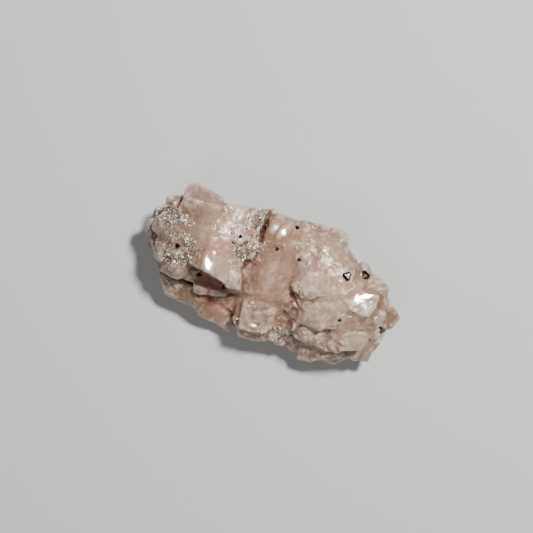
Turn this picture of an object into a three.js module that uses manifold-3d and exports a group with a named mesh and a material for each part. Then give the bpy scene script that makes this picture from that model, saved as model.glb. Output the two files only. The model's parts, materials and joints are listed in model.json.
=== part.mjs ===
// Pink saddle dolomite with chalcopyrite: a hand specimen 32 mm long, curved rhombs grown together
// into two lumps with a groove between them, cut off flat underneath, with a few small
// chalcopyrite crystals seated in the display side.
// Millimetres. +Z is up out of the display side, +X runs along the specimen, z = 0 is the flat cut.
import * as THREE from "three";
import { ConvexGeometry } from "three/addons/geometries/ConvexGeometry.js";
import { mergeVertices } from "three/addons/utils/BufferGeometryUtils.js";
import Module from "manifold-3d";

const wasm = await Module();
wasm.setup();

// ---- driving dimensions ----
const TAPER = 0.86; // size of a rhomb's hidden end against its face
const LARGE_FACE = 5.6; // diagonal of a face that gets three facets a side instead of two
const FLANK_LEVELS = [0.9, 3.0, 5.1]; // heights of the rings of side crystals
const FLANK_HEADROOM = 0.9; // a ring stops where the rim's lip is less than this above it
const FLANK_STEP = 3.1; // distance along the rim from one side crystal to the next
const FLANK_SIZE = 3.3; // edge of a side crystal
const FLANK_THICK = 3.2; // how far a side crystal reaches inwards
const FLANK_INSET = 0.7; // how far a side crystal's face stays inside the rim at the lip
const FLANK_UNDERCUT = 0.09; // further inset for each millimetre below the lip
const CRYSTAL_GAP = 0.04; // clearance round a chalcopyrite crystal in its socket
const CRYSTAL_TILT = 0.69; // lean that brings a large face of a chalcopyrite crystal uppermost, radians
const SEAT_DEPTH = 0.66; // share of a chalcopyrite crystal that sits below the surface
const POINT_CUT = 0.35; // how far from its middle plane each point of a chalcopyrite crystal is cut
const PROBE = 0.2; // width of the column that finds the height of the surface
const CUT_BLOCK = 60; // side of the block that cuts the base flat
const FINEST_FORM = 0.17; // steps finer than this are merged away in the dolomite
const FINEST_EDGE = 0.004; // slivers finer than this are merged away round the sockets

// ---- inner mass: centre x, y and radii x, y, z of each dome, all standing on z = 0 ----
const CORES = [
  [-8.6, 0.8, 5.2, 4.2, 7.8],
  [-0.6, -0.6, 12.4, 5.2, 4.8],
  [6.0, 0.5, 6.2, 4.6, 7.6],
];

// ---- rim of the specimen, clockwise from the left end: x, y and the height of its lip ----
const RIM = [
  [-15.6, -0.3, 4.0], [-14.6, 2.8, 4.2], [-12.6, 5.2, 6.2], [-8.6, 5.5, 7.4], [-3.6, 6.2, 6.8],
  [1.4, 6.9, 6.8], [6.2, 7.1, 7.2], [9.2, 4.4, 6.0], [12.2, 3.1, 5.0], [15.1, 0.7, 4.0],
  [14.5, -2.4, 3.4], [14.2, -5.0, 3.0], [10.8, -7.0, 2.4], [7.5, -7.7, 2.6], [3.5, -7.2, 2.8],
  [-0.4, -8.0, 3.2], [-5.5, -7.3, 2.2], [-9.8, -6.8, 2.8], [-12.2, -5.2, 3.4], [-14.2, -2.6, 3.8],
];

// ---- curved rhombs ----
// Each row: name, the four corners (x, y, z) of its face counter-clockwise from above, thickness,
// crown (how far the middle of the face swells), round (0 a square outline, 1 a round one).
const LEFT_LUMP = [
  ["tablet", [-12.9, 3.3, 8.6, -9.0, 3.6, 9.9, -7.9, 6.5, 8.7, -13.3, 6.7, 7.4], 2.4, 0.2, 0.75],
  ["tablet_foot", [-13.15, 2.1, 7.6, -11.0, 2.0, 8.8, -10.9, 4.6, 9.9, -12.9, 4.4, 8.3], 2.5, 0.1, 0.1],
  ["left_saddle", [-9.5, -3.0, 8.6, -7.0, -3.0, 10.6, -7.2, 5.2, 10.4, -11.4, 4.6, 9.1], 4.0, 0.3, 0.15],
  ["right_saddle", [-7.7, -2.7, 10.8, -3.5, -3.5, 8.9, -2.65, 6.8, 8.0, -7.6, 5.6, 10.3], 4.0, 0.4, 0.08],
  ["groove_terrace", [-5.4, 0.6, 9.9, -2.3, 0.3, 8.8, -2.1, 3.1, 8.9, -5.2, 3.0, 10.1], 2.0, 0.2, 0.2],
  ["top_terrace", [-5.0, 3.7, 9.8, -2.9, 3.5, 8.9, -2.85, 6.2, 8.4, -4.8, 6.1, 9.4], 2.0, 0.15, 0.25],
  ["lower_tip", [-4.3, -3.8, 9.2, -2.3, -3.5, 8.2, -2.8, -1.3, 8.9, -4.5, -1.2, 9.9], 2.2, 0.15, 0.35],
  ["striped_tip", [-2.9, -2.3, 7.6, -2.2, -2.9, 7.0, -2.1, -1.2, 7.4, -3.1, -0.9, 8.2], 1.5, 0.1, 0.1],
  ["left_fringe", [-14.3, 2.3, 6.6, -13.05, 2.0, 7.6, -13.0, 4.9, 7.2, -14.2, 4.5, 6.0], 3.0, 0.15, 0.2],
  ["left_back", [-15.6, 0.9, 4.0, -14.1, 1.2, 5.6, -13.7, 4.0, 5.4, -14.6, 3.9, 4.2], 2.5, 0.2, 0.2],
  ["left_knob", [-15.1, -0.7, 6.4, -12.0, -0.9, 8.0, -11.7, 2.2, 8.0, -14.9, 2.1, 6.6], 3.5, 0.4, 0.45],
  ["left_end", [-15.7, -1.5, 4.2, -14.7, -1.4, 5.6, -14.8, 0.75, 6.0, -16.1, 0.4, 4.4], 2.2, 0.2, 0.6],
  ["left_step", [-14.2, -3.3, 4.2, -13.4, -2.6, 5.4, -14.2, -0.9, 5.6, -15.25, -1.6, 4.2], 2.2, 0.15, 0.2],
  ["lower_left", [-14.0, -3.6, 5.8, -12.1, -4.1, 6.6, -11.9, -0.6, 7.8, -14.2, -0.4, 6.2], 3.0, 0.3, 0.3],
  ["sugary_bench", [-12.2, -2.9, 7.5, -8.9, -2.9, 8.2, -9.6, 0.5, 9.2, -12.3, 0.3, 8.1], 3.0, 0.2, 0.1],
  ["tan_face", [-12.2, -0.5, 7.9, -9.8, -0.8, 9.2, -10.9, 2.4, 9.2, -13.1, 2.2, 7.9], 2.5, 0.1, 0.1],
  ["lower_knob", [-12.3, -5.0, 5.8, -9.6, -5.5, 6.4, -8.6, -2.7, 7.9, -12.2, -2.7, 7.3], 3.5, 0.4, 0.4],
  ["lower_rhomb", [-9.5, -5.3, 5.8, -7.7, -4.75, 6.0, -7.5, -3.0, 7.2, -9.1, -3.3, 7.4], 2.5, 0.1, 0.1],
  ["low_corner", [-11.0, -7.3, 2.9, -7.4, -7.4, 3.2, -7.4, -5.2, 5.3, -12.6, -5.0, 4.4], 2.8, 0.25, 0.3],
];
const POCKET = [
  ["pocket_lath", [-7.6, -5.85, 5.9, -3.9, -4.95, 5.9, -3.7, -3.95, 6.3, -8.15, -4.75, 6.4], 1.0, 0.08, 0.08],
  ["lower_plate", [-6.4, -7.75, 2.6, -1.7, -8.85, 1.8, -2.3, -4.3, 5.2, -8.2, -5.8, 5.0], 2.8, 0.2, 0.12],
  ["plate_layer", [-8.3, -7.0, 3.2, -5.0, -7.6, 3.0, -4.6, -5.6, 4.6, -7.6, -5.5, 5.0], 2.0, 0.15, 0.15],
  ["pocket_floor", [-7.9, -4.7, 5.8, -1.9, -4.3, 6.0, -1.9, -2.6, 7.2, -7.8, -2.4, 7.6], 2.4, 0.1, 0.05],
  ["plate_stub", [-3.9, -6.2, 4.4, -1.6, -6.2, 4.6, -1.6, -3.4, 5.6, -3.9, -3.6, 5.3], 2.4, 0.1, 0.1],
];
const CENTRE = [
  ["upper_slope", [-2.55, 3.0, 8.1, 0.7, 3.4, 9.3, 0.6, 7.25, 7.8, -2.9, 7.2, 7.3], 2.6, 0.3, 0.05],
  ["grey_rhomb", [-1.5, 2.2, 7.9, 0.2, 2.4, 8.6, 0.55, 3.65, 9.1, -1.2, 3.7, 8.6], 1.5, 0.1, 0.1],
  ["groove_floor", [-3.3, -0.9, 7.8, -1.8, -0.9, 7.9, -2.0, 6.95, 6.8, -3.2, 6.85, 6.9], 2.4, 0.0, 0.05],
  ["middle_slope", [-2.6, -3.5, 7.2, 1.4, -3.5, 7.4, 0.9, 3.6, 9.2, -2.4, 3.4, 8.2], 3.2, 0.15, 0.05],
  ["valley", [0.6, -3.5, 7.1, 3.6, -3.5, 7.5, 2.8, 0.5, 8.7, 0.6, 0.3, 8.2], 3.2, 0.1, 0.1],
  ["pit_face", [2.3, -3.7, 7.3, 4.8, -4.0, 7.7, 4.0, -0.4, 9.2, 2.3, -0.2, 8.6], 2.0, 0.0, 0.1],
  ["smooth_strip", [0.4, -3.3, 7.0, 2.8, -2.9, 8.4, 2.7, 4.8, 10.6, 0.1, 4.4, 9.3], 3.2, 0.25, 0.1],
];
const RIGHT_LUMP = [
  ["top_edge_a", [0.0, 4.2, 9.1, 1.9, 4.4, 9.9, 1.5, 7.35, 7.6, -0.3, 7.25, 7.2], 2.4, 0.15, 0.2],
  ["top_edge_b", [1.1, 4.2, 9.8, 3.4, 4.4, 10.5, 3.2, 7.45, 8.1, 1.0, 7.4, 7.7], 2.8, 0.2, 0.2],
  ["top_edge_c", [2.9, 4.4, 10.3, 5.2, 4.6, 10.7, 5.0, 7.5, 8.2, 2.8, 7.45, 7.9], 2.2, 0.2, 0.2],
  ["top_edge_d", [4.2, 4.4, 10.5, 7.4, 4.2, 10.5, 7.1, 7.6, 7.9, 4.4, 8.0, 8.0], 2.9, 0.3, 0.5],
  ["speckled", [1.7, 2.3, 10.0, 4.6, 2.4, 11.0, 4.8, 5.3, 10.6, 1.5, 5.3, 9.8], 2.8, 0.2, 0.15],
  ["shoulder", [6.8, 3.1, 10.7, 9.2, 2.9, 9.6, 9.05, 5.25, 7.8, 7.2, 6.3, 8.2], 2.8, 0.3, 0.35],
  ["end_scale", [8.8, 2.6, 9.1, 10.9, 3.0, 7.9, 10.95, 5.2, 6.6, 9.0, 5.8, 7.0], 2.4, 0.25, 0.9],
  ["round_rhomb", [10.4, 1.9, 8.5, 13.5, 1.7, 7.3, 13.9, 3.75, 5.8, 11.0, 5.0, 6.6], 2.6, 0.35, 0.8],
  ["bright_rhomb", [9.6, -0.4, 10.45, 12.7, -0.6, 10.15, 13.0, 2.9, 9.3, 9.3, 1.4, 10.05], 2.8, 0.05, 0.35],
  ["spike", [12.8, -1.2, 7.2, 15.4, -1.1, 5.0, 16.35, 0.8, 5.0, 12.6, 3.3, 7.7], 2.6, 0.15, 0.12],
  ["right_shelf", [9.3, -2.9, 9.5, 14.0, -2.0, 7.8, 14.3, 0.8, 8.0, 9.4, 0.4, 10.4], 3.2, 0.25, 0.3],
  ["right_face", [10.4, -5.7, 7.2, 13.3, -4.9, 6.9, 14.4, -1.1, 7.6, 10.9, -1.9, 8.8], 3.2, 0.35, 0.3],
  ["centre_rhomb", [2.4, -1.0, 9.1, 5.9, -1.6, 10.05, 6.6, 3.5, 11.6, 2.2, 2.9, 10.3], 3.2, 0.3, 0.35],
  ["crest_rhomb", [5.2, -1.3, 10.05, 9.6, -0.8, 10.4, 9.7, 2.6, 10.5, 5.8, 3.2, 11.7], 3.2, 0.35, 0.15],
  ["upper_rhomb", [4.4, 2.5, 11.5, 8.9, 2.2, 11.0, 8.8, 5.0, 9.8, 4.2, 5.4, 10.9], 3.2, 0.25, 0.2],
  ["crease_rhomb", [8.7, 0.7, 10.7, 10.6, 1.0, 9.9, 10.7, 3.2, 8.7, 8.9, 3.3, 9.7], 2.4, 0.15, 0.15],
  ["ledge", [3.2, -3.1, 8.1, 6.2, -1.9, 9.6, 5.8, -0.7, 10.0, 3.6, -1.5, 8.9], 2.2, 0.1, 0.1],
  ["lower_saddle", [4.4, -4.6, 8.1, 8.0, -4.5, 8.6, 9.6, 0.6, 10.9, 4.6, -0.3, 10.4], 3.6, 0.4, 0.3],
  ["lower_saddle_side", [7.6, -3.9, 8.9, 10.4, -3.3, 8.7, 10.3, 0.5, 10.5, 7.4, 0.4, 11.0], 3.0, 0.2, 0.15],
];
const LOWER_EDGE = [
  ["low_right_a", [12.9, -5.6, 3.9, 14.8, -5.8, 3.2, 15.15, -3.5, 3.6, 13.1, -3.2, 5.4], 2.6, 0.2, 0.6],
  ["low_right_b", [13.4, -3.8, 4.4, 15.05, -3.7, 3.4, 14.8, -1.7, 4.2, 13.6, -1.5, 5.6], 2.6, 0.2, 0.5],
  ["low_right_c", [11.2, -6.6, 3.8, 13.5, -6.0, 3.4, 13.5, -4.4, 5.0, 11.0, -5.0, 5.6], 2.6, 0.15, 0.2],
  ["bottom_layer", [7.6, -7.9, 3.8, 11.9, -6.7, 3.8, 11.2, -5.1, 5.8, 7.4, -5.4, 6.4], 3.0, 0.2, 0.12],
  ["lowest_layer", [8.9, -7.8, 2.2, 11.0, -7.6, 2.0, 12.2, -6.4, 2.8, 9.6, -6.8, 3.2], 2.0, 0.1, 0.2],
  ["bottom_tip", [6.2, -8.3, 2.6, 8.5, -8.4, 2.6, 8.4, -5.7, 5.8, 5.6, -6.0, 5.4], 3.0, 0.3, 0.5],
  ["lower_lump", [5.1, -6.5, 5.8, 9.0, -6.2, 6.2, 8.8, -3.9, 8.0, 4.9, -4.2, 7.7], 3.0, 0.35, 0.3],
  ["lower_wedge", [8.7, -6.3, 6.0, 11.0, -6.0, 6.2, 11.2, -2.6, 8.8, 8.3, -2.9, 8.6], 3.0, 0.15, 0.15],
  ["block_bench", [-2.0, -5.0, 6.6, 0.8, -4.7, 7.0, 2.6, -3.0, 7.4, -2.1, -3.3, 6.8], 2.8, 0.1, 0.1],
  ["block_face", [-1.3, -7.6, 6.0, 2.1, -7.1, 6.2, 2.3, -3.9, 7.3, -2.1, -4.1, 6.9], 3.0, 0.25, 0.25],
  ["block_hollow", [1.0, -6.2, 5.9, 4.6, -6.4, 5.9, 5.2, -3.6, 7.5, 1.6, -3.2, 7.3], 2.8, -0.2, 0.1],
  ["block_rim", [-0.9, -8.8, 3.6, 2.7, -7.8, 4.2, 2.4, -6.0, 6.0, -2.2, -5.8, 5.6], 3.0, 0.15, 0.4],
  ["block_side", [-2.2, -7.2, 4.4, -1.0, -7.4, 5.0, -1.6, -3.9, 6.6, -2.7, -4.1, 6.0], 2.4, 0.1, 0.1],
  ["shingle_a", [1.9, -7.6, 4.6, 3.6, -7.6, 4.4, 3.6, -6.0, 5.6, 1.8, -5.9, 5.8], 2.4, 0.15, 0.2],
  ["shingle_b", [3.0, -7.85, 3.6, 4.5, -7.7, 3.6, 4.6, -6.0, 5.2, 3.1, -6.0, 5.5], 2.4, 0.15, 0.2],
  ["white_prism", [4.55, -5.75, 7.2, 5.3, -5.75, 7.0, 4.9, -4.5, 7.9, 4.2, -4.6, 7.7], 1.4, 0.05, 0.05],
  ["low_band", [4.2, -7.7, 3.0, 6.9, -7.9, 2.8, 6.8, -5.8, 5.4, 4.0, -5.8, 5.2], 2.8, 0.15, 0.2],
];

// ---- chalcopyrite crystals: name, x, y, size, turn about the vertical in degrees ----
const CHALCOPYRITE = [
  ["chalcopyrite_shoulder", 8.15, 2.9, 0.8, -25],
  ["chalcopyrite_end", 10.15, 3.8, 0.85, 160],
  ["chalcopyrite_speckled", 2.4, 2.65, 0.35, 10],
  ["chalcopyrite_grey", -0.4, 2.8, 0.35, 40],
  ["chalcopyrite_top", 0.85, 5.95, 0.4, 70],
  ["chalcopyrite_groove", -2.6, 4.8, 0.4, 0],
  ["chalcopyrite_terrace", -4.85, 2.55, 0.35, 30],
  ["chalcopyrite_terrace_foot", -5.35, 1.7, 0.35, -15],
  ["chalcopyrite_bench", -11.2, -1.15, 0.45, 55],
  ["chalcopyrite_pocket", -7.7, -3.3, 0.45, 5],
  ["chalcopyrite_pocket_right", -4.45, -3.65, 0.45, 35],
  ["chalcopyrite_shelf", 9.3, -2.05, 0.35, 15],
];

// ---- shapes ----
// A repeatable value between -1 and 1 for the k-th choice.
function wobble(k) {
  const s = Math.sin(k * 12.9898 + 4.1414) * 43758.5453;
  return 2 * (s - Math.floor(s)) - 1;
}

// Curved rhomb: a swelling face through four corners, a smaller face below it and the four sides.
function rhombGeometry(corners, thick, crown, round) {
  const c = [0, 3, 6, 9].map((i) => new THREE.Vector3(corners[i], corners[i + 1], corners[i + 2]));
  const diagonal = (c[0].distanceTo(c[2]) + c[1].distanceTo(c[3])) / 2;
  const steps = diagonal > LARGE_FACE ? 3 : 2;
  const middle = new THREE.Vector3();
  for (const p of c) middle.addScaledVector(p, 0.25);
  const normal = c[2].clone().sub(c[0]).cross(c[3].clone().sub(c[1])).normalize();
  const onFace = (s, t) => {
    const u = s * Math.sqrt(1 - (round * t * t) / 2);
    const v = t * Math.sqrt(1 - (round * s * s) / 2);
    const near = c[0].clone().lerp(c[1], (u + 1) / 2);
    const far = c[3].clone().lerp(c[2], (u + 1) / 2);
    return near.lerp(far, (v + 1) / 2).addScaledVector(normal, crown * (1 - u * u) * (1 - v * v));
  };
  const positions = [];
  const index = [];
  const quad = (a, b, d, e) => index.push(a, b, d, a, d, e);
  const row = steps + 1;
  for (let j = 0; j < row; j++)
    for (let i = 0; i < row; i++) positions.push(...onFace((2 * i) / steps - 1, (2 * j) / steps - 1));
  const rim = [];
  for (let i = 0; i < steps; i++) rim.push(i);
  for (let i = 0; i < steps; i++) rim.push(i * row + steps);
  for (let i = steps; i > 0; i--) rim.push(steps * row + i);
  for (let i = steps; i > 0; i--) rim.push(i * row);
  for (let j = 0; j < steps; j++)
    for (let i = 0; i < steps; i++) {
      const a = j * row + i;
      quad(a, a + 1, a + row + 1, a + row);
    }
  const under = row * row;
  for (const k of rim) {
    const p = new THREE.Vector3().fromArray(positions, 3 * k);
    p.sub(middle).multiplyScalar(TAPER).add(middle).addScaledVector(normal, -thick);
    positions.push(...p);
  }
  positions.push(...middle.clone().addScaledVector(normal, -thick));
  const hub = under + rim.length;
  rim.forEach((k, i) => {
    const next = (i + 1) % rim.length;
    quad(under + i, under + next, rim[next], k);
    index.push(hub, under + next, under + i);
  });
  const g = new THREE.BufferGeometry();
  g.setAttribute("position", new THREE.Float32BufferAttribute(positions, 3));
  g.setIndex(index);
  return g;
}

// Chalcopyrite crystal: a disphenoid with its four points cut off, "size" across.
function chalcopyriteGeometry(size) {
  const points = [];
  for (const corner of [[1, 1, 1], [-1, -1, 1], [-1, 1, -1], [1, -1, -1]])
    for (const cut of [[1, 1, POINT_CUT], [1, POINT_CUT, 1], [POINT_CUT, 1, 1]])
      points.push(new THREE.Vector3(...corner).multiply(new THREE.Vector3(...cut)).multiplyScalar(size / 2));
  return new ConvexGeometry(points);
}

function toSolid(geometry) {
  const g = geometry.clone();
  g.deleteAttribute("normal");
  g.deleteAttribute("uv");
  const merged = mergeVertices(g, 1e-4);
  return new wasm.Manifold(
    new wasm.Mesh({
      numProp: 3,
      vertProperties: new Float32Array(merged.attributes.position.array),
      triVerts: new Uint32Array(merged.index.array),
    }),
  );
}

function toGeometry(solid) {
  const mesh = solid.getMesh();
  const g = new THREE.BufferGeometry();
  g.setAttribute("position", new THREE.BufferAttribute(mesh.vertProperties, 3));
  g.setIndex(new THREE.BufferAttribute(mesh.triVerts, 1));
  return g;
}

// Side crystals: rhombs that face outwards in rings below the rim's lip.
function flankRhombs() {
  const up = new THREE.Vector3(0, 0, 1);
  const rows = [];
  let k = 0;
  for (const level of FLANK_LEVELS) {
    let travelled = 0;
    RIM.forEach(([x, y, lip], i) => {
      const [nextX, nextY, nextLip] = RIM[(i + 1) % RIM.length];
      const along = new THREE.Vector3(nextX - x, nextY - y, 0);
      const length = along.length();
      along.normalize();
      const out = up.clone().cross(along);
      for (; travelled < length; travelled += FLANK_STEP * (1 + 0.25 * wobble(k))) {
        k += 7;
        const lipHere = lip + ((nextLip - lip) * travelled) / length;
        const height = level + 0.5 * wobble(k + 1);
        if (lipHere - height < FLANK_HEADROOM) continue;
        const face = out.clone().addScaledVector(along, 0.35 * wobble(k + 2));
        face.addScaledVector(up, 0.25 + 0.3 * wobble(k + 3)).normalize();
        const side = up.clone().cross(face).normalize();
        const turn = 0.7 * wobble(k + 4);
        const a = side.clone().multiplyScalar(Math.cos(turn));
        a.addScaledVector(face.clone().cross(side), Math.sin(turn));
        const b = face.clone().cross(a).addScaledVector(a, 0.25 * wobble(k + 5)).normalize();
        const half = (FLANK_SIZE / 2) * (1 + 0.2 * wobble(k + 6));
        const centre = new THREE.Vector3(x, y, height).addScaledVector(along, travelled);
        centre.addScaledVector(out, -FLANK_INSET - FLANK_UNDERCUT * (lipHere - height));
        const corners = [];
        for (const [s, t, lift] of [[-1, -1, 0.12], [1, -1, -0.12], [1, 1, 0.12], [-1, 1, -0.12]]) {
          const corner = centre.clone().addScaledVector(a, s * half).addScaledVector(b, t * half);
          corners.push(...corner.addScaledVector(face, lift * half));
        }
        rows.push(["flank", corners, FLANK_THICK, 0.2, 0.15]);
      }
      travelled -= length;
    });
  }
  return rows;
}

// Dome with a full, boxy shoulder.
function domeGeometry(x, y, radiusX, radiusY, height) {
  const g = new THREE.IcosahedronGeometry(1, 2);
  const positions = g.attributes.position;
  for (let i = 0; i < positions.count; i++) {
    const p = new THREE.Vector3().fromBufferAttribute(positions, i);
    p.divideScalar(Math.cbrt(Math.hypot(p.x, p.y) ** 3 + Math.abs(p.z) ** 3));
    positions.setXYZ(i, p.x, p.y, p.z);
  }
  return g.scale(radiusX, radiusY, height).translate(x, y, 0);
}

// The largest connected piece of a solid.
function mainBody(solid) {
  return solid.decompose().reduce((best, piece) => (piece.volume() > best.volume() ? piece : best));
}

// Height of the top of a solid at x, y.
function surfaceHeight(solid, x, y) {
  const column = toSolid(new THREE.BoxGeometry(PROBE, PROBE, CUT_BLOCK).translate(x, y, CUT_BLOCK / 2));
  return solid.intersect(column).boundingBox().max[2];
}

const rhombs = [...LEFT_LUMP, ...POCKET, ...CENTRE, ...RIGHT_LUMP, ...LOWER_EDGE, ...flankRhombs()];
let dolomite = CORES.map((row) => toSolid(domeGeometry(...row))).reduce((a, b) => a.add(b));
for (const [, corners, thick, crown, round] of rhombs)
  dolomite = dolomite.add(toSolid(rhombGeometry(corners, thick, crown, round)));
const block = new THREE.BoxGeometry(CUT_BLOCK, CUT_BLOCK, CUT_BLOCK).translate(0, 0, -CUT_BLOCK / 2);
dolomite = mainBody(dolomite.subtract(toSolid(block))).simplify(FINEST_FORM);

const specimen = new THREE.Group();
for (const [name, x, y, size, turn] of CHALCOPYRITE) {
  const z = surfaceHeight(dolomite, x, y) + size * (0.5 - SEAT_DEPTH);
  const lean = (g) => g.rotateZ(-Math.PI / 4).rotateX(CRYSTAL_TILT);
  const place = (g) => lean(g).rotateZ(THREE.MathUtils.degToRad(turn)).translate(x, y, z);
  dolomite = dolomite.subtract(toSolid(place(chalcopyriteGeometry(size + 2 * CRYSTAL_GAP))));
  const crystal = new THREE.Mesh(
    mergeVertices(place(chalcopyriteGeometry(size)).deleteAttribute("normal")),
    new THREE.MeshStandardMaterial({ color: 0x6b5b34, roughness: 0.25, metalness: 1 }),
  );
  crystal.name = name;
  specimen.add(crystal);
}
dolomite = mainBody(dolomite.simplify(FINEST_EDGE));

const cluster = new THREE.Mesh(
  toGeometry(dolomite),
  new THREE.MeshStandardMaterial({ color: 0xd9c4bb, roughness: 0.45, metalness: 0 }),
);
cluster.name = "dolomite_cluster";
specimen.add(cluster);

const middle = new THREE.Box3().setFromObject(specimen).getCenter(new THREE.Vector3());
for (const mesh of specimen.children) mesh.geometry.translate(-middle.x, -middle.y, 0);

export default specimen;
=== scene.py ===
"""Looks of a hand specimen: pink saddle dolomite with small chalcopyrite crystals on it."""
import itertools
import json
import math
import random

import bmesh
import bpy
import numpy as np
from mathutils import Matrix, Vector
from mathutils.bvhtree import BVHTree

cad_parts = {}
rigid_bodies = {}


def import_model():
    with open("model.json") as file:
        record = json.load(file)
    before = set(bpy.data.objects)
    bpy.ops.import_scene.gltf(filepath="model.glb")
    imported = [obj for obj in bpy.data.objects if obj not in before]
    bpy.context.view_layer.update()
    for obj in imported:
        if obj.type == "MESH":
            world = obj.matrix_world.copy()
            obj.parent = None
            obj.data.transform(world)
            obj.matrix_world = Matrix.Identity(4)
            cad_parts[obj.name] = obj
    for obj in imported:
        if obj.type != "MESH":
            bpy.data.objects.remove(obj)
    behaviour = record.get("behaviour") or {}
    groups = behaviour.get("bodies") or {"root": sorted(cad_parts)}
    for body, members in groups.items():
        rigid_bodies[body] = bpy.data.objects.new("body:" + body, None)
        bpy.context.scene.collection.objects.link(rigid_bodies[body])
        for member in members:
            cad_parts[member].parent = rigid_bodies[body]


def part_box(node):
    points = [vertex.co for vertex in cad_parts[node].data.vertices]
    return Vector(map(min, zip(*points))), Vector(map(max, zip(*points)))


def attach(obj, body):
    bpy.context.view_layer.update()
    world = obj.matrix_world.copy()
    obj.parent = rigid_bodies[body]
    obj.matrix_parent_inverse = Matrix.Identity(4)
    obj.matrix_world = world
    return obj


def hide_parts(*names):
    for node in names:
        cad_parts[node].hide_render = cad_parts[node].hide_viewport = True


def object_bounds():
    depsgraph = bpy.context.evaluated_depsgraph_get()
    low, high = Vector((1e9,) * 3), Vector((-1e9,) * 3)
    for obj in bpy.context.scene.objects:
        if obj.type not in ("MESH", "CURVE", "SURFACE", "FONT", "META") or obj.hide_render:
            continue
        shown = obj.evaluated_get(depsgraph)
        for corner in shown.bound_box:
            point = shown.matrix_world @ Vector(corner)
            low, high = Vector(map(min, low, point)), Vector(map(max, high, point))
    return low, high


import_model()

bl_info = {
    "name": "Dolomite specimen",
    "version": (1, 0, 0),
    "blender": (4, 5, 0),
    "location": "View3D > Sidebar > Specimen",
    "description": "Grows a cluster of curved dolomite rhombs with chalcopyrite crystals on it",
    "category": "Add Mesh",
}

CAD_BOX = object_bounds()
MM = 0.001
CENTRE = (0.097, -0.4825)  # plan centre of the specimen in the rows' own millimetres

# ---- how the rhombs are cut, as in the solid ----
TAPER = 0.86  # size of a rhomb's hidden end beside its face
FLANK_LEVELS = (0.9, 3.0, 5.1)  # heights of the rings of side crystals
FLANK_HEADROOM = 0.9  # a ring stops where the rim's lip is less than this above it
FLANK_STEP = 3.1  # distance along the rim from one side crystal to the next
FLANK_SIZE = 3.3  # edge of a side crystal
FLANK_THICK = 3.2  # how far a side crystal reaches inwards
FLANK_INSET = 0.7  # how far a side crystal's face stays inside the rim at the lip
FLANK_UNDERCUT = 0.09  # further inset for each millimetre below the lip
FLANK_BEND = 0.12  # how far a side crystal's corners leave its plane, in half edges
FLANK_CROWN = 0.2
FLANK_ROUNDING = 0.15

# Domes of crust below the rhombs: centre x, y and radii x, y, z.
CORES = (
    (-8.6, 0.8, 5.2, 4.2, 7.8),
    (-0.6, -0.6, 12.4, 5.2, 4.8),
    (6.0, 0.5, 6.2, 4.6, 7.6),
)

# Rim of the specimen, clockwise from the left end: x, y and the height of its lip.
RIM = (
    (-15.6, -0.3, 4.0), (-14.6, 2.8, 4.2), (-12.6, 5.2, 6.2), (-8.6, 5.5, 7.4), (-3.6, 6.2, 6.8),
    (1.4, 6.9, 6.8), (6.2, 7.1, 7.2), (9.2, 4.4, 6.0), (12.2, 3.1, 5.0), (15.1, 0.7, 4.0),
    (14.5, -2.4, 3.4), (14.2, -5.0, 3.0), (10.8, -7.0, 2.4), (7.5, -7.7, 2.6), (3.5, -7.2, 2.8),
    (-0.4, -8.0, 3.2), (-5.5, -7.3, 2.2), (-9.8, -6.8, 2.8), (-12.2, -5.2, 3.4), (-14.2, -2.6, 3.8),
)

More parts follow.
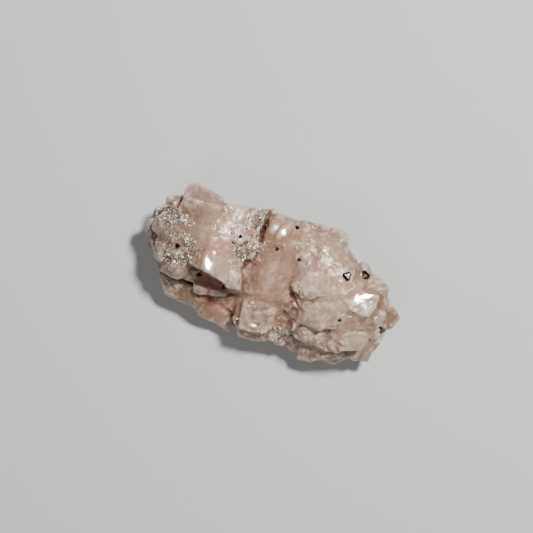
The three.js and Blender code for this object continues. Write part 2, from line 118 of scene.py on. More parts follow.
# The display side's rhombs. Each row: name, the four corners (x, y, z) of its face
# counter-clockwise from above, thickness, crown and roundness.
LEFT_LUMP = (
    ("tablet", (-12.9, 3.3, 8.6, -9.0, 3.6, 9.9, -7.9, 6.5, 8.7, -13.3, 6.7, 7.4), 2.4, 0.2, 0.75),
    ("tablet_foot", (-13.15, 2.1, 7.6, -11.0, 2.0, 8.8, -10.9, 4.6, 9.9, -12.9, 4.4, 8.3), 2.5, 0.1, 0.1),
    ("left_saddle", (-9.5, -3.0, 8.6, -7.0, -3.0, 10.6, -7.2, 5.2, 10.4, -11.4, 4.6, 9.1), 4.0, 0.3, 0.15),
    ("right_saddle", (-7.7, -2.7, 10.8, -3.5, -3.5, 8.9, -2.65, 6.8, 8.0, -7.6, 5.6, 10.3), 4.0, 0.4, 0.08),
    ("groove_terrace", (-5.4, 0.6, 9.9, -2.3, 0.3, 8.8, -2.1, 3.1, 8.9, -5.2, 3.0, 10.1), 2.0, 0.2, 0.2),
    ("top_terrace", (-5.0, 3.7, 9.8, -2.9, 3.5, 8.9, -2.85, 6.2, 8.4, -4.8, 6.1, 9.4), 2.0, 0.15, 0.25),
    ("lower_tip", (-4.3, -3.8, 9.2, -2.3, -3.5, 8.2, -2.8, -1.3, 8.9, -4.5, -1.2, 9.9), 2.2, 0.15, 0.35),
    ("striped_tip", (-2.9, -2.3, 7.6, -2.2, -2.9, 7.0, -2.1, -1.2, 7.4, -3.1, -0.9, 8.2), 1.5, 0.1, 0.1),
    ("left_fringe", (-14.3, 2.3, 6.6, -13.05, 2.0, 7.6, -13.0, 4.9, 7.2, -14.2, 4.5, 6.0), 3.0, 0.15, 0.2),
    ("left_back", (-15.6, 0.9, 4.0, -14.1, 1.2, 5.6, -13.7, 4.0, 5.4, -14.6, 3.9, 4.2), 2.5, 0.2, 0.2),
    ("left_knob", (-15.1, -0.7, 6.4, -12.0, -0.9, 8.0, -11.7, 2.2, 8.0, -14.9, 2.1, 6.6), 3.5, 0.4, 0.45),
    ("left_end", (-15.7, -1.5, 4.2, -14.7, -1.4, 5.6, -14.8, 0.75, 6.0, -16.1, 0.4, 4.4), 2.2, 0.2, 0.6),
    ("left_step", (-14.2, -3.3, 4.2, -13.4, -2.6, 5.4, -14.2, -0.9, 5.6, -15.25, -1.6, 4.2), 2.2, 0.15, 0.2),
    ("lower_left", (-14.0, -3.6, 5.8, -12.1, -4.1, 6.6, -11.9, -0.6, 7.8, -14.2, -0.4, 6.2), 3.0, 0.3, 0.3),
    ("sugary_bench", (-12.2, -2.9, 7.5, -8.9, -2.9, 8.2, -9.6, 0.5, 9.2, -12.3, 0.3, 8.1), 3.0, 0.2, 0.1),
    ("tan_face", (-12.2, -0.5, 7.9, -9.8, -0.8, 9.2, -10.9, 2.4, 9.2, -13.1, 2.2, 7.9), 2.5, 0.1, 0.1),
    ("lower_knob", (-12.3, -5.0, 5.8, -9.6, -5.5, 6.4, -8.6, -2.7, 7.9, -12.2, -2.7, 7.3), 3.5, 0.4, 0.4),
    ("lower_rhomb", (-9.5, -5.3, 5.8, -7.7, -4.75, 6.0, -7.5, -3.0, 7.2, -9.1, -3.3, 7.4), 2.5, 0.1, 0.1),
    ("low_corner", (-11.0, -7.3, 2.9, -7.4, -7.4, 3.2, -7.4, -5.2, 5.3, -12.6, -5.0, 4.4), 2.8, 0.25, 0.3),
)
POCKET = (
    (
        "pocket_lath", (-7.6, -5.85, 5.9, -3.9, -4.95, 5.9, -3.7, -3.95, 6.3, -8.15, -4.75, 6.4),
        1.0, 0.08, 0.08,
    ),
    ("lower_plate", (-6.4, -7.75, 2.6, -1.7, -8.85, 1.8, -2.3, -4.3, 5.2, -8.2, -5.8, 5.0), 2.8, 0.2, 0.12),
    ("plate_layer", (-8.3, -7.0, 3.2, -5.0, -7.6, 3.0, -4.6, -5.6, 4.6, -7.6, -5.5, 5.0), 2.0, 0.15, 0.15),
    ("pocket_floor", (-7.9, -4.7, 5.8, -1.9, -4.3, 6.0, -1.9, -2.6, 7.2, -7.8, -2.4, 7.6), 2.4, 0.1, 0.05),
    ("plate_stub", (-3.9, -6.2, 4.4, -1.6, -6.2, 4.6, -1.6, -3.4, 5.6, -3.9, -3.6, 5.3), 2.4, 0.1, 0.1),
)
CENTRE_ROWS = (
    ("upper_slope", (-2.55, 3.0, 8.1, 0.7, 3.4, 9.3, 0.6, 7.25, 7.8, -2.9, 7.2, 7.3), 2.6, 0.3, 0.05),
    ("grey_rhomb", (-1.5, 2.2, 7.9, 0.2, 2.4, 8.6, 0.55, 3.65, 9.1, -1.2, 3.7, 8.6), 1.5, 0.1, 0.1),
    ("groove_floor", (-3.3, -0.9, 7.8, -1.8, -0.9, 7.9, -2.0, 6.95, 6.8, -3.2, 6.85, 6.9), 2.4, 0.0, 0.05),
    ("middle_slope", (-2.6, -3.5, 7.2, 1.4, -3.5, 7.4, 0.9, 3.6, 9.2, -2.4, 3.4, 8.2), 3.2, 0.15, 0.05),
    ("valley", (0.6, -3.5, 7.1, 3.6, -3.5, 7.5, 2.8, 0.5, 8.7, 0.6, 0.3, 8.2), 3.2, 0.1, 0.1),
    ("pit_face", (2.3, -3.7, 7.3, 4.8, -4.0, 7.7, 4.0, -0.4, 9.2, 2.3, -0.2, 8.6), 2.0, 0.0, 0.1),
    ("smooth_strip", (0.4, -3.3, 7.0, 2.8, -2.9, 8.4, 2.7, 4.8, 10.6, 0.1, 4.4, 9.3), 3.2, 0.25, 0.1),
)
RIGHT_LUMP = (
    ("top_edge_a", (0.0, 4.2, 9.1, 1.9, 4.4, 9.9, 1.5, 7.35, 7.6, -0.3, 7.25, 7.2), 2.4, 0.15, 0.2),
    ("top_edge_b", (1.1, 4.2, 9.8, 3.4, 4.4, 10.5, 3.2, 7.45, 8.1, 1.0, 7.4, 7.7), 2.8, 0.2, 0.2),
    ("top_edge_c", (2.9, 4.4, 10.3, 5.2, 4.6, 10.7, 5.0, 7.5, 8.2, 2.8, 7.45, 7.9), 2.2, 0.2, 0.2),
    ("top_edge_d", (4.2, 4.4, 10.5, 7.4, 4.2, 10.5, 7.1, 7.6, 7.9, 4.4, 8.0, 8.0), 2.9, 0.3, 0.5),
    ("speckled", (1.7, 2.3, 10.0, 4.6, 2.4, 11.0, 4.8, 5.3, 10.6, 1.5, 5.3, 9.8), 2.8, 0.2, 0.15),
    ("shoulder", (6.8, 3.1, 10.7, 9.2, 2.9, 9.6, 9.05, 5.25, 7.8, 7.2, 6.3, 8.2), 2.8, 0.3, 0.35),
    ("end_scale", (8.8, 2.6, 9.1, 10.9, 3.0, 7.9, 10.95, 5.2, 6.6, 9.0, 5.8, 7.0), 2.4, 0.25, 0.9),
    ("round_rhomb", (10.4, 1.9, 8.5, 13.5, 1.7, 7.3, 13.9, 3.75, 5.8, 11.0, 5.0, 6.6), 2.6, 0.35, 0.8),
    ("bright_rhomb", (9.6, -0.4, 10.45, 12.7, -0.6, 10.15, 13.0, 2.9, 9.3, 9.3, 1.4, 10.05), 2.8, 0.05, 0.35),
    ("spike", (12.8, -1.2, 7.2, 15.4, -1.1, 5.0, 16.35, 0.8, 5.0, 12.6, 3.3, 7.7), 2.6, 0.15, 0.12),
    ("right_shelf", (9.3, -2.9, 9.5, 14.0, -2.0, 7.8, 14.3, 0.8, 8.0, 9.4, 0.4, 10.4), 3.2, 0.25, 0.3),
    ("right_face", (10.4, -5.7, 7.2, 13.3, -4.9, 6.9, 14.4, -1.1, 7.6, 10.9, -1.9, 8.8), 3.2, 0.35, 0.3),
    ("centre_rhomb", (2.4, -1.0, 9.1, 5.9, -1.6, 10.05, 6.6, 3.5, 11.6, 2.2, 2.9, 10.3), 3.2, 0.3, 0.35),
    ("crest_rhomb", (5.2, -1.3, 10.05, 9.6, -0.8, 10.4, 9.7, 2.6, 10.5, 5.8, 3.2, 11.7), 3.2, 0.35, 0.15),
    ("upper_rhomb", (4.4, 2.5, 11.5, 8.9, 2.2, 11.0, 8.8, 5.0, 9.8, 4.2, 5.4, 10.9), 3.2, 0.25, 0.2),
    ("crease_rhomb", (8.7, 0.7, 10.7, 10.6, 1.0, 9.9, 10.7, 3.2, 8.7, 8.9, 3.3, 9.7), 2.4, 0.15, 0.15),
    ("ledge", (3.2, -3.1, 8.1, 6.2, -1.9, 9.6, 5.8, -0.7, 10.0, 3.6, -1.5, 8.9), 2.2, 0.1, 0.1),
    ("lower_saddle", (4.4, -4.6, 8.1, 8.0, -4.5, 8.6, 9.6, 0.6, 10.9, 4.6, -0.3, 10.4), 3.6, 0.4, 0.3),
    ("lower_saddle_side", (7.6, -3.9, 8.9, 10.4, -3.3, 8.7, 10.3, 0.5, 10.5, 7.4, 0.4, 11.0), 3.0, 0.2, 0.15),
)
LOWER_EDGE = (
    ("low_right_a", (12.9, -5.6, 3.9, 14.8, -5.8, 3.2, 15.15, -3.5, 3.6, 13.1, -3.2, 5.4), 2.6, 0.2, 0.6),
    ("low_right_b", (13.4, -3.8, 4.4, 15.05, -3.7, 3.4, 14.8, -1.7, 4.2, 13.6, -1.5, 5.6), 2.6, 0.2, 0.5),
    ("low_right_c", (11.2, -6.6, 3.8, 13.5, -6.0, 3.4, 13.5, -4.4, 5.0, 11.0, -5.0, 5.6), 2.6, 0.15, 0.2),
    ("bottom_layer", (7.6, -7.9, 3.8, 11.9, -6.7, 3.8, 11.2, -5.1, 5.8, 7.4, -5.4, 6.4), 3.0, 0.2, 0.12),
    ("lowest_layer", (8.9, -7.8, 2.2, 11.0, -7.6, 2.0, 12.2, -6.4, 2.8, 9.6, -6.8, 3.2), 2.0, 0.1, 0.2),
    ("bottom_tip", (6.2, -8.3, 2.6, 8.5, -8.4, 2.6, 8.4, -5.7, 5.8, 5.6, -6.0, 5.4), 3.0, 0.3, 0.5),
    ("lower_lump", (5.1, -6.5, 5.8, 9.0, -6.2, 6.2, 8.8, -3.9, 8.0, 4.9, -4.2, 7.7), 3.0, 0.35, 0.3),
    ("lower_wedge", (8.7, -6.3, 6.0, 11.0, -6.0, 6.2, 11.2, -2.6, 8.8, 8.3, -2.9, 8.6), 3.0, 0.15, 0.15),
    ("block_bench", (-2.0, -5.0, 6.6, 0.8, -4.7, 7.0, 2.6, -3.0, 7.4, -2.1, -3.3, 6.8), 2.8, 0.1, 0.1),
    ("block_face", (-1.3, -7.6, 6.0, 2.1, -7.1, 6.2, 2.3, -3.9, 7.3, -2.1, -4.1, 6.9), 3.0, 0.25, 0.25),
    ("block_hollow", (1.0, -6.2, 5.9, 4.6, -6.4, 5.9, 5.2, -3.6, 7.5, 1.6, -3.2, 7.3), 2.8, -0.2, 0.1),
    ("block_rim", (-0.9, -8.8, 3.6, 2.7, -7.8, 4.2, 2.4, -6.0, 6.0, -2.2, -5.8, 5.6), 3.0, 0.15, 0.4),
    ("block_side", (-2.2, -7.2, 4.4, -1.0, -7.4, 5.0, -1.6, -3.9, 6.6, -2.7, -4.1, 6.0), 2.4, 0.1, 0.1),
    ("shingle_a", (1.9, -7.6, 4.6, 3.6, -7.6, 4.4, 3.6, -6.0, 5.6, 1.8, -5.9, 5.8), 2.4, 0.15, 0.2),
    ("shingle_b", (3.0, -7.85, 3.6, 4.5, -7.7, 3.6, 4.6, -6.0, 5.2, 3.1, -6.0, 5.5), 2.4, 0.15, 0.2),
    ("white_prism", (4.55, -5.75, 7.2, 5.3, -5.75, 7.0, 4.9, -4.5, 7.9, 4.2, -4.6, 7.7), 1.4, 0.05, 0.05),
    ("low_band", (4.2, -7.7, 3.0, 6.9, -7.9, 2.8, 6.8, -5.8, 5.4, 4.0, -5.8, 5.2), 2.8, 0.15, 0.2),
)


# Each crystal's node and its turn about the vertical in degrees, as in the solid.
CHALCOPYRITE_TURNS = {
    "chalcopyrite_shoulder": -25,
    "chalcopyrite_end": 160,
    "chalcopyrite_speckled": 10,
    "chalcopyrite_grey": 40,
    "chalcopyrite_top": 70,
    "chalcopyrite_groove": 0,
    "chalcopyrite_terrace": 30,
    "chalcopyrite_terrace_foot": -15,
    "chalcopyrite_bench": 55,
    "chalcopyrite_pocket": 5,
    "chalcopyrite_pocket_right": 35,
    "chalcopyrite_shelf": 15,
}


# ---- noise ----
def lattice(x, y, z, seed):
    """Repeatable numbers between -1 and 1 on whole-number points."""
    h = (x * 374761393 + y * 668265263 + z * 1440662683 + seed * 1274126177) & 0xFFFFFFFF
    h = ((h ^ (h >> 13)) * 1274126177) & 0xFFFFFFFF
    return ((h ^ (h >> 16)) & 0xFFFF) / 32767.5 - 1.0


def ripple(points, size, seed=0):
    """Smooth noise between -1 and 1 over points, with features of the given size."""
    scaled = np.asarray(points) / size
    cell = np.floor(scaled).astype(np.int64)
    f = scaled - cell
    f = f * f * (3 - 2 * f)
    total = 0.0
    for corner in itertools.product((0, 1), repeat=3):
        weight = 1.0
        for axis, d in enumerate(corner):
            weight = weight * (f[..., axis] if d else 1 - f[..., axis])
        total = total + weight * lattice(*np.moveaxis(cell + corner, -1, 0), seed)
    return total


FACET_RISE = 0.15  # how far a facet lies above or below the mean, in sizes
FACET_SHIFT = 0.4  # how far its middle lies from the middle of its cell, in sizes
FACET_SLOPE = 0.3  # its steepest slope along each axis
FACET_FALL = 0.35  # how fast it gives way to its neighbours away from its middle


def facets(points, size, seed):
    """Height of flat, slightly tilted panes of the given size that meet in creases, in sizes."""
    scaled = np.asarray(points) / size
    base = np.floor(scaled).astype(np.int64)
    best = np.full(len(scaled), -np.inf)
    for step in itertools.product((-1, 0, 1), repeat=3):
        cell = (base + step).T
        value = FACET_RISE * lattice(*cell, seed)
        squared = 0.0
        for axis in range(3):
            centre = cell[axis] + 0.5 + FACET_SHIFT * lattice(*cell, seed + 1 + axis)
            away = scaled[:, axis] - centre
            value = value + FACET_SLOPE * away * lattice(*cell, seed + 4 + axis)
            squared = squared + away**2
        best = np.maximum(best, value - FACET_FALL * squared)
    return best


def smooth(x):
    """Smooth step from 0 to 1 as x goes from 0 to 1."""
    x = np.clip(x, 0, 1)
    return x * x * (3 - 2 * x)


def eased(x, start, width):
    """Smooth step from 0 at start to 1 a width further on."""
    return smooth((x - start) / width)


def wobble(k):
    """A repeatable value between -1 and 1 for the k-th choice, as in the solid."""
    s = math.sin(k * 12.9898 + 4.1414) * 43758.5453
    return 2 * (s - math.floor(s)) - 1


def unit(v):
    """Vectors made one long."""
    v = np.asarray(v, float)
    return v / np.maximum(np.linalg.norm(v, axis=-1, keepdims=True), 1e-12)


# ---- the dolomite's rhombs ----
GROWTH_STEPS = ((1.3, 0.07), (0.75, 0.08), (0.35, 0.08), (0.15, 0.06))  # distance in from the rim, drop
FACE_WAVES = ((2.1, 0.06, 3), (0.8, 0.035, 4), (0.3, 0.012, 5))  # length, height and seed
COARSE_GRAIN = (0.7, 0.04)  # length and depth of the ripples on the sides
FINE_GRAIN = (0.3, 0.015)
RIM_WEAR = 0.05  # how far a face drops right at its rim
RIM_RAGGEDNESS = 0.09  # how far the rim is nibbled inwards
LAYER_STEP = 0.05  # how far the layers of the sides stand out from each other
GROWTH_EDGE = 0.12  # width over which a growth step falls
WEAR_WIDTH = 0.07  # how far in from the rim a face is worn
PANE_SPACING = 1.3  # size of the slightly turned blocks that a large face is made of
PANE_RISE = (-0.07, 0.05)  # lowest and highest block
PANE_LEAN = 0.035  # steepest slope of a block
PANED_SIZE = 1.8  # a face larger than this shows its blocks as relief
EDGE_WIDTH = 0.22  # width of the frosted edge, lighter in colour, partly a painted highlight
SIDE_EDGE = (0.6, 0.3)  # strength and width of the frosted edge on the sides, lighter in colour, partly a painted highlight
CALMING = 0.65  # how much of the relief the smooth places lose


class Rhomb:
    """One curved rhomb with growth steps, panes and a frosted edge that is partly a painted highlight, in the
    rows' millimetres.
    """

    def __init__(self, row, seed, spacing, relief):
        _, corners, self.thick, self.crown, self.rounding = row
        self.c = np.array(corners, float).reshape(4, 3)
        self.seed = seed
        self.relief = relief
        self.random = random.Random(seed)
        c = self.c
        self.wide = (np.linalg.norm(c[1] - c[0]) + np.linalg.norm(c[2] - c[3])) / 2
        self.deep = (np.linalg.norm(c[3] - c[0]) + np.linalg.norm(c[2] - c[1])) / 2
        self.size = (self.wide + self.deep) / 2
        self.middle = c.mean(0)
        self.normal = unit(np.cross(c[2] - c[0], c[3] - c[1]))
        self.nu = max(6, round(self.wide / spacing))
        self.nv = max(6, round(self.deep / spacing))
        self.nw = max(4, round(self.thick / (2 * spacing)))
        self.faces = []
        self.face_grid()
        self.sides()

    def panes(self, a, b):
        """Lift and shade of the slightly turned blocks that a large face is made of."""
        count = 1 + int(self.size / PANE_SPACING)
        best = np.full(a.shape, np.inf)
        lift = np.zeros(a.shape)
        shade = np.zeros(a.shape)
        for _ in range(count):
            pa = self.random.uniform(-0.5, 0.5) * self.wide
            pb = self.random.uniform(-0.5, 0.5) * self.deep
            up = self.random.uniform(*PANE_RISE)
            ta = self.random.uniform(-PANE_LEAN, PANE_LEAN)
            tb = self.random.uniform(-PANE_LEAN, PANE_LEAN)
            tone = self.random.uniform(-1, 1)
            far = np.maximum(np.abs(a - pa), np.abs(b - pb)) + 0.35 * (np.abs(a - pa) + np.abs(b - pb))
            near = far < best
            best = np.where(near, far, best)
            lift = np.where(near, up + ta * (a - pa) + tb * (b - pb), lift)
            shade = np.where(near, tone, shade)
        return lift, shade

    def face_grid(self):
        """The swelling face through the four corners, with its growth relief."""
        c, k = self.c, self.rounding
        s, t = np.meshgrid(np.linspace(-1, 1, self.nu + 1), np.linspace(-1, 1, self.nv + 1))
        outer = np.maximum(np.abs(s), np.abs(t))
        ragged = np.stack([s * self.wide / 2, t * self.deep / 2, np.full_like(s, self.seed)], -1)
        nibble = 0.5 + 0.5 * ripple(ragged, 0.8, self.seed) + 0.25 * ripple(ragged, 0.3, self.seed + 1)
        pull = 1 - RIM_RAGGEDNESS / self.size * nibble * outer**8 * self.relief
        u = s * np.sqrt(1 - k * t * t / 2) * pull
        v = t * np.sqrt(1 - k * s * s / 2) * pull
        uu, vv = (u[..., None] + 1) / 2, (v[..., None] + 1) / 2
        near = c[0] + (c[1] - c[0]) * uu
        far = c[3] + (c[2] - c[3]) * uu
        p = near + (far - near) * vv
        across = (c[1] - c[0]) * (1 - vv) + (c[2] - c[3]) * vv
        facing = unit(np.cross(across, far - near))
        p = p + self.normal * (self.crown * (1 - u * u) * (1 - v * v))[..., None]
        rim = np.minimum((1 - np.abs(s)) * self.wide, (1 - np.abs(t)) * self.deep) / 2
        wander = 0.6 * ripple(p, 0.9, self.seed) + 0.4 * ripple(p, 0.35, self.seed + 2)
        scale = min(1.0, self.size / 3)
        lift = sum(height * ripple(p, length, wave) for length, height, wave in FACE_WAVES)
        for reach, drop in GROWTH_STEPS:
            lift -= drop * smooth((reach * scale * (1 + 0.8 * wander) - rim) / GROWTH_EDGE + 0.5)
        lift -= RIM_WEAR * np.exp(-rim / WEAR_WIDTH)
        pane_lift, pane_shade = self.panes(s * self.wide / 2, t * self.deep / 2)
        if self.size > PANED_SIZE:
            lift += pane_lift
        calm = 1 - CALMING * spotted(p, SMOOTH_SPOTS, 0)
        p = p + facing * (lift * self.relief * calm)[..., None]
        self.points = list(p.reshape(-1, 3))
        self.edge = list(np.exp(-rim / EDGE_WIDTH).reshape(-1))
        self.pane = list(pane_shade.reshape(-1))
        row = self.nu + 1
        for j in range(self.nv):
            for i in range(self.nu):
                a = j * row + i
                self.faces.append((a, a + 1, a + row + 1, a + row))
        self.rim = list(range(self.nu))
        self.rim += [j * row + self.nu for j in range(self.nv)]
        self.rim += [self.nv * row + i for i in range(self.nu, 0, -1)]
        self.rim += [j * row for j in range(self.nv, 0, -1)]

    def sides(self):
        """The four sides, layered parallel to the face, and the hidden end."""
        top = np.array([self.points[k] for k in self.rim])
        out = top - self.middle
        out = unit(out - self.normal * (out @ self.normal)[:, None])
        loop = self.rim
        n = len(loop)
        for level in range(1, self.nw + 1):
            share = level / self.nw
            ring = (top - self.middle) * (1 - (1 - TAPER) * share) + self.middle
            ring = ring - self.normal * self.thick * share
            layer = LAYER_STEP * wobble(self.seed * 31 + level) * (level < self.nw)
            grain = COARSE_GRAIN[1] * ripple(ring, COARSE_GRAIN[0], self.seed)
            grain += FINE_GRAIN[1] * ripple(ring, FINE_GRAIN[0], 7)
            ring = ring + out * ((layer + grain) * self.relief)[:, None]
            start = len(self.points)
            self.points += list(ring)
            self.edge += [SIDE_EDGE[0] * math.exp(-self.thick * share / SIDE_EDGE[1])] * n
            self.pane += [0.5 * wobble(self.seed * 17 + level)] * n
            lower = list(range(start, start + n))
            for i in range(n):
                j = (i + 1) % n
                self.faces.append((lower[i], lower[j], loop[j], loop[i]))
            loop = lower
        hub = len(self.points)
        self.points.append(self.middle - self.normal * self.thick)
        self.edge.append(0.0)
        self.pane.append(0.0)
        for i in range(n):
            self.faces.append((hub, loop[(i + 1) % n], loop[i]))


def flank_rows():
    """Side crystals in rings below the rim's lip, worked out as in the solid."""
    up = np.array([0.0, 0.0, 1.0])
    rows = []
    k = 0
    for level in FLANK_LEVELS:
        travelled = 0.0
        for i, (x, y, lip) in enumerate(RIM):
            next_x, next_y, next_lip = RIM[(i + 1) % len(RIM)]
            along = np.array([next_x - x, next_y - y, 0.0])
            length = np.linalg.norm(along)
            along = along / length
            out = np.cross(up, along)
            while travelled < length:
                k += 7
                lip_here = lip + (next_lip - lip) * travelled / length
                height = level + 0.5 * wobble(k + 1)
                if lip_here - height >= FLANK_HEADROOM:
                    face = out + along * 0.35 * wobble(k + 2) + up * (0.25 + 0.3 * wobble(k + 3))
                    face = unit(face)
                    side = unit(np.cross(up, face))
                    turn = 0.7 * wobble(k + 4)
                    a = side * math.cos(turn) + np.cross(face, side) * math.sin(turn)
                    b = unit(np.cross(face, a) + a * 0.25 * wobble(k + 5))
                    half = FLANK_SIZE / 2 * (1 + 0.2 * wobble(k + 6))
                    centre = np.array([x, y, height]) + along * travelled
                    centre = centre - out * (FLANK_INSET + FLANK_UNDERCUT * (lip_here - height))
                    corners = []
                    for s, t in ((-1, -1), (1, -1), (1, 1), (-1, 1)):
                        bend = FLANK_BEND * s * t
                        corners.extend(centre + a * s * half + b * t * half + face * bend * half)
                    rows.append(("flank", corners, FLANK_THICK, FLANK_CROWN, FLANK_ROUNDING))
                travelled += FLANK_STEP * (1 + 0.25 * wobble(k))
            travelled -= length
    return rows


BOX_MARGIN = 0.8 * MM  # distance from the specimen's box at which all relief fits
SEAT_RELIEF = 0.1  # share of the relief that is left around a chalcopyrite crystal
SEAT_MARGIN = (0.4, 0.7)  # millimetres from its middle where more starts, and width until all fits


def room(places):
    """How much relief fits at each place: 0 on the specimen's box and on the chalcopyrite, 1 away."""
    low, high = np.array(CAD_BOX[0]), np.array(CAD_BOX[1])
    inside = np.minimum(places[:, :2] - low[:2], high[:2] - places[:, :2]).min(1)
    inside = np.minimum(inside, high[2] - places[:, 2])
    free = smooth(inside / BOX_MARGIN)
    for node in CHALCOPYRITE_TURNS:
        centre = np.array(sum(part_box(node), Vector()) / 2)
        away = np.linalg.norm(places - centre, axis=1) / MM
        free = free * (SEAT_RELIEF + (1 - SEAT_RELIEF) * eased(away, *SEAT_MARGIN))
    return free


WARPING = ((0.26, 3.6, 11), (0.13, 1.7, 31), (0.06, 0.6, 41))  # reach, length and seed of each wave
STEADYING = 0.95  # how much of the warping the polished faces lose


def placed(points):
    """Points in the rows' millimetres moved to the specimen's frame, in metres, slightly warped."""
    p = np.array(points, float)
    drift = [
        sum(reach * ripple(p, length, seed + axis) for reach, length, seed in WARPING)
        for axis in range(3)
    ]
    steady = 1 - STEADYING * spotted(p, POLISHED_SPOTS, 0)
    p[:, 0] -= CENTRE[0]
    p[:, 1] -= CENTRE[1]
    p *= MM
    return p + np.stack(drift, 1) * (room(p) * steady * MM)[:, None]


def new_object(name, data):
    """A linked object at the origin that holds a mesh, a light or a camera."""
    made = bpy.data.objects.new(name, data)
    bpy.context.scene.collection.objects.link(made)
    return made


def add_values(mesh, name, values):
    """A named number for each vertex of a mesh."""
    layer = mesh.attributes.get(name) or mesh.attributes.new(name, "FLOAT", "POINT")
    layer.data.foreach_set("value", np.asarray(values, np.float32))


def add_blanks(mesh):
    """No tone, edge or pane at any vertex of a mesh."""
    for name in ("tone", "edge", "pane"):
        add_values(mesh, name, np.zeros(len(mesh.vertices)))


def read_vectors(mesh, key):
    """Three numbers of each vertex of a mesh."""
    values = np.zeros(len(mesh.vertices) * 3, np.float32)
    mesh.vertices.foreach_get(key, values)
    return values.reshape(-1, 3).astype(float)


def read_places(mesh):
    """The place of each vertex of a mesh."""
    return read_vectors(mesh, "co")


def read_normals(mesh):
    """The normal of each vertex of a mesh."""
    return read_vectors(mesh, "normal")


def set_places(mesh, places):
    """Moves the vertices of a mesh to places."""
    mesh.vertices.foreach_set("co", places.astype(np.float32).reshape(-1))
    mesh.update()


def drawn(bm, name):
    """Mesh of what has been drawn in a bmesh, which is then let go."""
    mesh = bpy.data.meshes.new(name)
    bm.to_mesh(mesh)
    bm.free()
    return mesh


def applied(thing):
    """The evaluated mesh of an object, with its modifiers taken off it."""
    bpy.context.view_layer.update()
    graph = bpy.context.evaluated_depsgraph_get()
    mesh = bpy.data.meshes.new_from_object(
        thing.evaluated_get(graph), preserve_all_data_layers=True, depsgraph=graph
    )
    thing.modifiers.clear()
    old = thing.data
    thing.data = mesh
    bpy.data.meshes.remove(old)
    return mesh


def rhomb_mesh(row, seed, spacing, relief):
    """Mesh of one rhomb with its tone, edge and pane values."""
    rhomb = Rhomb(row, seed, spacing, relief)
    mesh = bpy.data.meshes.new(f"rhomb_{seed}")
    mesh.from_pydata(placed(rhomb.points).tolist(), [], rhomb.faces)
    tone = wobble(seed * 3 + 1)
    add_values(mesh, "tone", [tone] * len(rhomb.points))
    add_values(mesh, "edge", rhomb.edge)
    add_values(mesh, "pane", rhomb.pane)
    return mesh


DOME_WAVES = ((0.012, 1.2, 11), (0.006, 0.4, 12))  # swelling, length and seed


def dome_mesh(row, seed):
    """Mesh of one rough dome of crust below the rhombs."""
    x, y, radius_x, radius_y, height = row
    bm = bmesh.new()
    bmesh.ops.create_icosphere(bm, subdivisions=6, radius=1.0)
    mesh = drawn(bm, f"dome_{seed}")
    p = read_places(mesh)
    p = p / np.cbrt(np.hypot(p[:, 0], p[:, 1]) ** 3 + np.abs(p[:, 2]) ** 3)[:, None]
    p = p * (radius_x, radius_y, height) + (x, y, 0)
    swell = sum((share * ripple(p, length, wave) for share, length, wave in DOME_WAVES), 1)
    set_places(mesh, placed(p * swell[:, None]))
    add_blanks(mesh)
    return mesh


def even_mesh(thing, spacing):
    """Rebuilds an object's mesh as evenly spaced squares over its outer surface."""
    even = thing.modifiers.new("even", "REMESH")
    even.mode = "VOXEL"
    even.voxel_size = spacing
    return applied(thing)


def inside_box(places):
    """Places kept inside the specimen's box."""
    return np.clip(places, np.array(CAD_BOX[0]), np.array(CAD_BOX[1]))


def in_rows(places):
    """Places in the specimen's frame as points in the rows' millimetres."""
    return places / MM + (*CENTRE, 0)


def beside(points, line):
    """Distance in plan to a line, the same but negative on its right, and the share of it passed."""
    line = np.array(line)[:, :2]
    nearest = np.full(len(points), np.inf)
    side = np.zeros(len(points))
    passed = np.zeros(len(points))
    for k, (start, along) in enumerate(zip(line, line[1:] - line[:-1])):
        away = points[:, :2] - start
        share = np.clip(away @ along / (along @ along), 0, 1)
        far = np.linalg.norm(away - share[:, None] * along, axis=1)
        left = np.sign(along[0] * away[:, 1] - along[1] * away[:, 0])
        closer = far < nearest
        nearest = np.where(closer, far, nearest)
        side = np.where(closer, far * left, side)
        passed = np.where(closer, (k + share) / (len(line) - 1), passed)
    return nearest, side, passed


def rim_distance(points):
    """How far each point is from the specimen's rim in plan, in millimetres."""
    return beside(points, RIM + RIM[:1])[0]


GROWN_GAP = 0.11  # half the width of a gap that the crystals have grown across
WIDEST_GAP = 0.45  # how much wider the gaps are that are grown across at the grown spots
LEAST_GAP = 0.02
GAP_INSET = (0.8, 1.6)  # millimetres in from the rim where this starts, and width until it is full
FILLING_SINK = 0.05  # depth of the filling below the crystals' faces
EVENING_ROUNDS = 2  # how often the filling and the whole joined surface are evened out


def gap_width(places):
    """Half the width of the gaps that the crystals have grown across, at each place."""
    points = in_rows(places)
    shut = 1 - spotted(points, OPEN_SPOTS, 0)
    inner = eased(rim_distance(points), *GAP_INSET)
    wide = GROWN_GAP * inner + WIDEST_GAP * spotted(points, GROWN_SPOTS, 0)
    return (wide * shut + LEAST_GAP) * MM


def crevice_filling(mesh, spacing):
    """Object that fills the narrow gaps between crystals, just below their faces."""
    filling = new_object("filling", mesh.copy())
    even = even_mesh(filling, spacing)
    places = read_places(even)
    set_places(even, places + read_normals(even) * gap_width(places)[:, None])
    even = even_mesh(filling, spacing)
    places = read_places(even)
    sunk = gap_width(places) + FILLING_SINK * MM
    set_places(even, places - read_normals(even) * sunk[:, None])
    even = even_mesh(filling, spacing)
    set_places(even, relaxed(even, EVENING_ROUNDS))
    add_blanks(even)
    return filling


